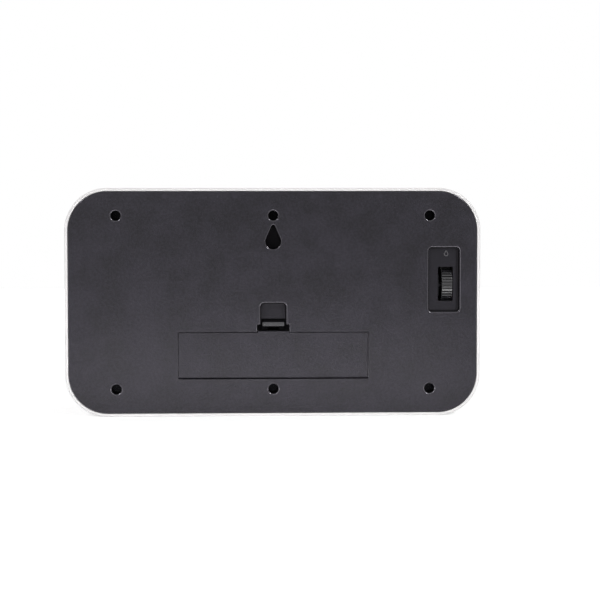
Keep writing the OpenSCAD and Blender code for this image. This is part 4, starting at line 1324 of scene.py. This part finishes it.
@dataclass
class SettingWheel:
    """The ribbed wheel that sets the time, with its small gear."""

    x: float = -104.75
    y: float = 30.5
    z: float = 78.4
    d: float = 23.0
    w: float = 6.2
    ribs: int = 40
    rib_span: Point = (0.2, 0.8)
    depth: float = 1.0
    rim_round: float = 0.18
    bore_x: float = -112.0
    bore_d: float = 3.1
    hub_x: float = -108.7
    hub_d: float = 7.0
    gear_x: float = -111.2
    gear_w: float = 2.6
    gear_turn: float = 9.27
    teeth: int = 16
    module: float = 0.817
    steps: int = 8

    def build(self) -> bpy.types.Object:
        """Builds the wheel from its ribbed outline and returns it."""
        form = Form()
        r, left, low, high = self.d / 2, self.x - self.w / 2, *self.rib_span
        circle = self.circle(form, self.ribs, r)
        for v in circle:
            turn = (math.atan2(v.co.y, v.co.x) / math.tau * self.ribs) % 1.0
            if not low < turn < high:
                v.co *= (r - self.depth) / r
        sideways = Matrix.Rotation(math.radians(90), 3, "Y")
        bmesh.ops.rotate(form.bm, cent=(0, 0, 0), matrix=sideways, verts=circle)
        form.extrude((self.w, 0, 0))
        form.bevel(form.edges_at(0, 0.0) + form.edges_at(0, self.w), self.rim_round, 2)
        form.move((left, self.y, self.z))
        wheel = form.object("setting_wheel")
        add(wheel, Form().rod(self.hub_x, left + 0.2, (0, self.y, self.z), self.hub_d, "X"))
        add(wheel, self.gear())
        bore = Form().rod(self.bore_x, self.x + self.w / 2 + 1, (0, self.y, self.z), self.bore_d, "X", 28)
        cut(wheel, bore)
        return dress(wheel, WHEEL_GREY, Body.THUMBWHEEL, ["thumbwheel"], angle=40.0)

    def circle(self, form: Form, parts: int, r: float) -> list[bmesh.types.BMVert]:
        """Returns the points of a filled circle, some for each rib or tooth."""
        count = parts * self.steps
        return bmesh.ops.create_circle(form.bm, cap_ends=True, segments=count, radius=r)["verts"]

    def gear(self) -> Form:
        """Returns the gear that meshes with the idler."""
        form = Form()
        whole = self.teeth * self.steps
        circle = self.circle(form, self.teeth, 1.0)
        root, pitch, tip = ((self.teeth / 2 + out) * self.module for out in (-1.05, 0.0, 0.8))
        heights = (tip, tip, pitch, root, root, root, pitch, tip)
        shifts = (0.0, -0.36, -0.24, -0.63, 0.0, 0.63, 0.24, 0.36)
        for v in circle:
            k = round(math.atan2(v.co.y, v.co.x) / math.tau * whole) % whole
            a = math.tau * (k + shifts[k % self.steps]) / whole + math.radians(self.gear_turn)
            h = heights[k % self.steps]
            v.co = Vector((0, h * math.cos(a), h * math.sin(a)))
        form.extrude((self.gear_w, 0, 0))
        form.move((self.gear_x, self.y, self.z))
        return form


@dataclass
class Cell:
    """One size C cell with its sleeve, rolled ends and button."""

    name: str
    node: str
    start: float
    y: float = 26.4
    z: float = 36.5
    d: float = 26.2
    length: float = 50.0
    nub_d: float = 8.0
    nub_l: float = 1.5
    band: float = 12.0

    def build(self) -> list[bpy.types.Object]:
        """Builds the sleeve and the steel ends, and returns them."""
        r, n, body, at = self.d / 2, self.nub_d / 2, self.length - self.nub_l, (self.start, self.y, self.z)
        hem = r - 1.6
        sleeve = [(hem, 0.15), (r - 0.5, 0.0), (r - 0.1, 0.25), (r, 0.8), (r, body - 0.8),
                  (r - 0.1, body - 0.25), (r - 0.5, body), (hem, body - 0.15), (hem, body - 0.8), (hem, 0.8)]
        disc, tip = r - 1.65, self.length
        ends = [(0, 0.1), (n + 2.2, 0.1), (n + 2.8, 0.45), (disc, 0.45), (disc, body - 0.7),
                (n + 1.5, body - 0.7), (n + 0.7, body - 0.3), (n, body - 0.2), (n, tip - 0.5),
                (n - 0.15, tip - 0.15), (n - 0.5, tip), (0, tip)]
        skin = Form().lathe(sleeve, at, "X", 64, closed=True).object(self.name + "_sleeve")
        metal = Form().lathe(ends, at, "X", 56).object(self.name + "_ends")
        paint = PrintedSleeve(self.name + "_print", (0.028, 0.028, 0.03), (0.48, 0.36, 0.14),
                              self.start + self.band)
        return [dress(skin, paint, Body.CLOCK, [self.node]),
                dress(metal, STEEL, Body.CLOCK)]


@dataclass
class Drum:
    """One drum's leaves: where they hinge and what is printed on them."""

    name: str
    x: float
    leaves: int
    shown: str
    coming: str
    leaf_body: Body
    y: float = -22.5
    z: float = 68.5
    r: float = 14.5
    leaf_t: float = 0.1
    digit_h: float = 57.0
    narrow: float = 0.82
    spacing: float = 1.02
    bold: float = 0.018
    ink_t: float = 0.008
    seam: float = 0.42

    @property
    def half(self) -> float:
        """Half the angle between two leaves, in degrees."""
        return 180 / self.leaves

    def hinge(self, a: float) -> Matrix:
        """Works out where a leaf hangs.

        Args:
            a: The angle of its hinge from the front over the top, in degrees.

        Returns:
            Its place and lean.
        """
        lean = a - self.half if a < 180 else 180.0
        turn = math.radians(a)
        place = Vector((self.x, self.y - self.r * math.cos(turn), self.z + self.r * math.sin(turn)))
        return Matrix.Translation(place) @ Matrix.Rotation(math.radians(-lean), 4, "X")

    def numeral(self, text: str, side: Side) -> Form:
        """Draws half a number.

        Args:
            text: The number.
            side: Which half.

        Returns:
            A flat form on the plane Y 0 round the drum's height.
        """
        curve = bpy.data.curves.new("numeral", "FONT")
        curve.body = text
        curve.align_x = "CENTER"
        curve.align_y = "CENTER"
        curve.size = 1.0
        curve.offset = self.bold
        curve.space_character = self.spacing
        curve.resolution_u = 6
        holder = put_in_scene("numeral", curve)
        bpy.context.view_layer.update()
        graph = bpy.context.evaluated_depsgraph_get()
        mesh = bpy.data.meshes.new_from_object(holder.evaluated_get(graph))
        bpy.data.objects.remove(holder)
        bpy.data.curves.remove(curve)
        form = Form()
        bm = form.bm
        bm.from_mesh(mesh)
        bpy.data.meshes.remove(mesh)
        (left, right), (low, high) = (
            (min(v.co[k] for v in bm.verts), max(v.co[k] for v in bm.verts)) for k in (0, 1))
        grow = self.digit_h / (high - low)
        form.move((-(left + right) / 2, -(low + high) / 2, 0))
        bmesh.ops.scale(bm, vec=(grow * self.narrow, grow, 1), verts=list(bm.verts))
        bmesh.ops.rotate(bm, cent=(0, 0, 0), matrix=UPRIGHT, verts=list(bm.verts))
        form.move((self.x, 0, self.z))
        bmesh.ops.bisect_plane(bm, geom=list(bm.verts) + list(bm.edges) + list(bm.faces),
                               plane_co=(0, 0, self.z + side.value * self.seam),
                               plane_no=(0, 0, -side.value), clear_outer=True)
        return form

    def print_half(self, part: str, text: str, side: Side, on: float, body: Body) -> bpy.types.Object:
        """Prints half a number on the leaf that stands at an angle.

        Args:
            part: The end of the piece's name.
            text: The number.
            side: The upper half is on a leaf's front, the lower half on its back.
            on: The angle of the leaf's hinge round the drum.
            body: What the piece rides on.

        Returns:
            The piece.
        """
        form = self.numeral(text, side)
        shown_at = self.half if side is Side.UPPER else 360 - self.half
        form.move((0, self.y - self.r * math.cos(math.radians(self.half)) - self.leaf_t / 2, 0))
        form.extrude((0, -self.ink_t, 0))
        move = self.hinge(on) @ self.hinge(shown_at).inverted()
        bmesh.ops.transform(form.bm, matrix=move, verts=list(form.bm.verts))
        return dress(form.object(f"{self.name}_{part}"), LEAF_INK, body)

    def build(self) -> list[bpy.types.Object]:
        """Prints all the halves that can be seen, and returns them."""
        half, upper, lower = self.half, Side.UPPER, Side.LOWER
        return [self.print_half("shown_upper", self.shown, upper, half, self.leaf_body),
                self.print_half("coming_lower", self.coming, lower, half, self.leaf_body),
                self.print_half("shown_lower", self.shown, lower, 360 - half, Body.CLOCK),
                self.print_half("coming_upper", self.coming, upper, 3 * half, Body.CLOCK)]


@dataclass
class Works:
    """The inner pieces that keep their CAD shapes and get finer finishes."""

    finishes: dict[Finish, tuple[str, ...]] = field(default_factory=lambda: {
        BLACK_INSIDE: ("battery_box",),
        BLACK_SCREW: ("case_screws",),
        RED_SLEEVE: ("red_wire",),
        BLACK_SLEEVE: ("black_wire",),
        YELLOW_SLEEVE: ("motor_wires",),
        BOARD_LACQUER: ("circuit_board",),
        CHIP_BLACK: ("board_parts",),
        STEEL: ("negative_contact", "positive_contact", "board_screws", "tie_rods", "frame_screws",
                "minute_finger", "hour_finger", "main_shaft", "counter_axle", "idler_stud", "clutch_spring",
                "intermediate_axle"),
        BLACK_OXIDE: ("left_plate", "centre_plate", "right_plate", "thumbwheel_stud", "stud_clips"),
        ZINC: ("gear_plate", "motor_can"),
        BRASS: ("gear_pillars", "rod_nuts", "shaft_bushes", "shaft_collar", "minute_pinion", "motor_pinion"),
        DRUM_WHITE: ("minute_hub", "minute_cheek_left", "minute_cheek_right",
                     "hour_hub", "hour_cheek_left", "hour_cheek_right"),
        LEAF_CARD: ("minute_leaves", "minute_leaf", "hour_leaves", "hour_leaf"),
        GEAR_CREAM: ("counter_wheel", "hour_gear", "setting_gear", "idler_gear", "drive_gear",
                     "intermediate_gear")})

    def build(self) -> None:
        """Gives each node its finish."""
        for finish, names in self.finishes.items():
            for name in names:
                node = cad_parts[name]
                if not node.material_slots:
                    node.data.materials.append(Paint.of(finish))
                for holder in node.material_slots:
                    holder.material = Paint.of(finish)
        LOG.info("%d inner nodes dressed", sum(map(len, self.finishes.values())))


# The studio


@dataclass
class Studio:
    """The floor, the world, the lamps and the camera."""

    camera_at: Triple = (0.02951, 1.13974, 0.13087)
    camera_turn: Triple = (86.821, 0.030, 177.622)
    lens: float = 110.0
    sensor: float = 36.0
    clip: Point = (0.05, 20.0)
    ambient: float = 0.20
    floor_half: float = 1.5
    floor_colour: Colour = (0.64, 0.64, 0.64)
    floor_glow: float = 0.65
    far_glow: float = 0.35
    far: Point = (0.6, 1.2)

    def build(self) -> None:
        """Builds the studio."""
        self.build_floor()
        self.build_world()
        self.build_camera()
        self.build_lamps()

    def camera_ray_switch(self, bench: NodeBench) -> Socket:
        """Tells what the camera sees from what only lights the clock.

        Args:
            bench: The nodes that the switch is added to.

        Returns:
            1 for what is seen directly, in a mirror or through glass, and else 0.
        """
        path = bench.node("LightPath")
        total = path.outputs["Is Camera Ray"]
        for name in ("Is Glossy Ray", "Is Transmission Ray"):
            larger = bench.node("Math", operation="MAXIMUM")
            bench.link(total, larger.inputs[0])
            bench.link(path.outputs[name], larger.inputs[1])
            total = larger.outputs["Value"]
        return total

    def build_floor(self) -> None:
        """Lays a plain pale floor that keeps the clock's shadow."""
        bm = bmesh.new()
        bmesh.ops.create_grid(bm, x_segments=1, y_segments=1, size=self.floor_half)
        mesh = bpy.data.meshes.new("floor")
        bm.to_mesh(mesh)
        bm.free()
        bench = FinishBench("floor_white", Base_Color=(*self.floor_colour, 1), Roughness=0.9,
                            Specular_IOR_Level=0.1)
        lit = bench.shader.outputs["BSDF"]
        glow, total, choose = (bench.node(kind) for kind in ("Emission", "AddShader", "MixShader"))
        for out, into in ((self.floor_strength(bench), glow.inputs["Strength"]),
                          (lit, total.inputs[0]), (glow.outputs["Emission"], total.inputs[1]),
                          (self.camera_ray_switch(bench), choose.inputs["Fac"]),
                          (lit, choose.inputs[1]), (total.outputs["Shader"], choose.inputs[2]),
                          (choose.outputs["Shader"], bench.tree.nodes["Material Output"].inputs["Surface"])):
            bench.link(out, into)
        mesh.materials.append(bench.material)
        put_in_scene("floor", mesh)

    def floor_strength(self, bench: NodeBench) -> Socket:
        """Lays out the floor's glow, which rises far off, where the floor meets the white room.

        Args:
            bench: The floor's nodes.

        Returns:
            The glow's strength.
        """
        far = bench.ramp(bench.length(bench.place()), self.far, (0.0, self.far_glow))
        seen = bench.node("Math", operation="MULTIPLY_ADD")
        bench.link(far, seen.inputs[0])
        bench.link(bench.node("LightPath").outputs["Is Camera Ray"], seen.inputs[1])
        seen.inputs[2].default_value = self.floor_glow
        return seen.outputs["Value"]

    def build_world(self) -> None:
        """Makes the world white where it is seen and softer where it lights."""
        world = bpy.data.worlds.new("white_room")
        bpy.context.scene.world = world
        world.use_nodes = True
        bench = NodeBench(world.node_tree)
        background = bench.tree.nodes["Background"]
        background.inputs["Color"].default_value = (1, 1, 1, 1)
        level = bench.ramp(self.camera_ray_switch(bench), FULL, (self.ambient, 1.0))
        bench.link(level, background.inputs["Strength"])

    def build_camera(self) -> None:
        """Sets the camera behind the clock, all but square to its back."""
        data = bpy.data.cameras.new("camera")
        data.lens = self.lens
        data.sensor_width = self.sensor
        data.clip_start, data.clip_end = self.clip
        camera = put_in_scene("camera", data)
        camera.location = self.camera_at
        camera.rotation_euler = [math.radians(a) for a in self.camera_turn]
        bpy.context.scene.camera = camera

    def lamp(self, name: str, at: Place, aim: Place, size: Point, watts: float,
             spread: float = 180.0) -> None:
        """Hangs one soft lamp.

        Args:
            name: Its name.
            at: Where it hangs, in metres.
            aim: The point that it faces.
            size: Its width and height.
            watts: Its power.
            spread: How wide its light fans out, in degrees.
        """
        data = bpy.data.lights.new(name, "AREA")
        data.shape = "RECTANGLE"
        data.size, data.size_y = size
        data.energy = watts
        data.spread = math.radians(spread)
        lamp = put_in_scene(name, data)
        lamp.location = at
        lamp.rotation_euler = (Vector(aim) - Vector(at)).to_track_quat("-Z", "Y").to_euler()

    def build_lamps(self) -> None:
        """Hangs the lamps: behind the clock two high, two low and one over the floor, and two in front."""
        middle = (0, 0, 0.07)
        self.lamp("left_box", (1.0, 1.3, 1.1), middle, (0.28, 0.28), 9.0)
        self.lamp("right_box", (-1.0, 1.3, 1.1), middle, (0.28, 0.28), 13.2)
        self.lamp("low_strip", (0.0, 0.163, 0.007), (0, 0.043, 0.012), (0.30, 0.012), 0.088)
        self.lamp("left_card", (0.2, 0.5, 0.06), (0.12, 0.043, 0.07), (0.08, 0.08), 0.1)
        self.lamp("floor_wash", (0.0, 0.14, 0.12), (0, 0.14, 0), (0.30, 0.04), 0.16, 50.0)
        self.lamp("front_box", (-0.9, -1.5, 0.75), middle, (1.0, 1.0), 11.0)
        self.lamp("front_fill", (1.2, -1.2, 0.5), middle, (0.8, 0.8), 7.0)


def main() -> None:
    """Builds the studio and the clock's pieces."""
    logging.basicConfig(level=logging.INFO, format="%(name)s: %(message)s")
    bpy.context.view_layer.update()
    bpy.context.scene.view_settings.view_transform = "Standard"
    Studio().build()
    outline = Outline()
    CaseShell(outline).build()
    FacePanel(outline).build()
    BackCover(outline).build()
    ArrowMark().build()
    BatteryLid().build()
    LatchBar().build()
    CatchSpring().build()
    SettingWheel().build()
    Cell("left_cell", "battery_left", -47.9).build()
    Cell("right_cell", "battery_right", 2.1).build()
    Drum("hours", -51.5, 48, "10", "10", Body.HOUR_LEAF).build()
    Drum("minutes", 51.5, 60, "09", "10", Body.MINUTE_LEAF).build()
    Works().build()


if __name__ == "__main__":
    main()
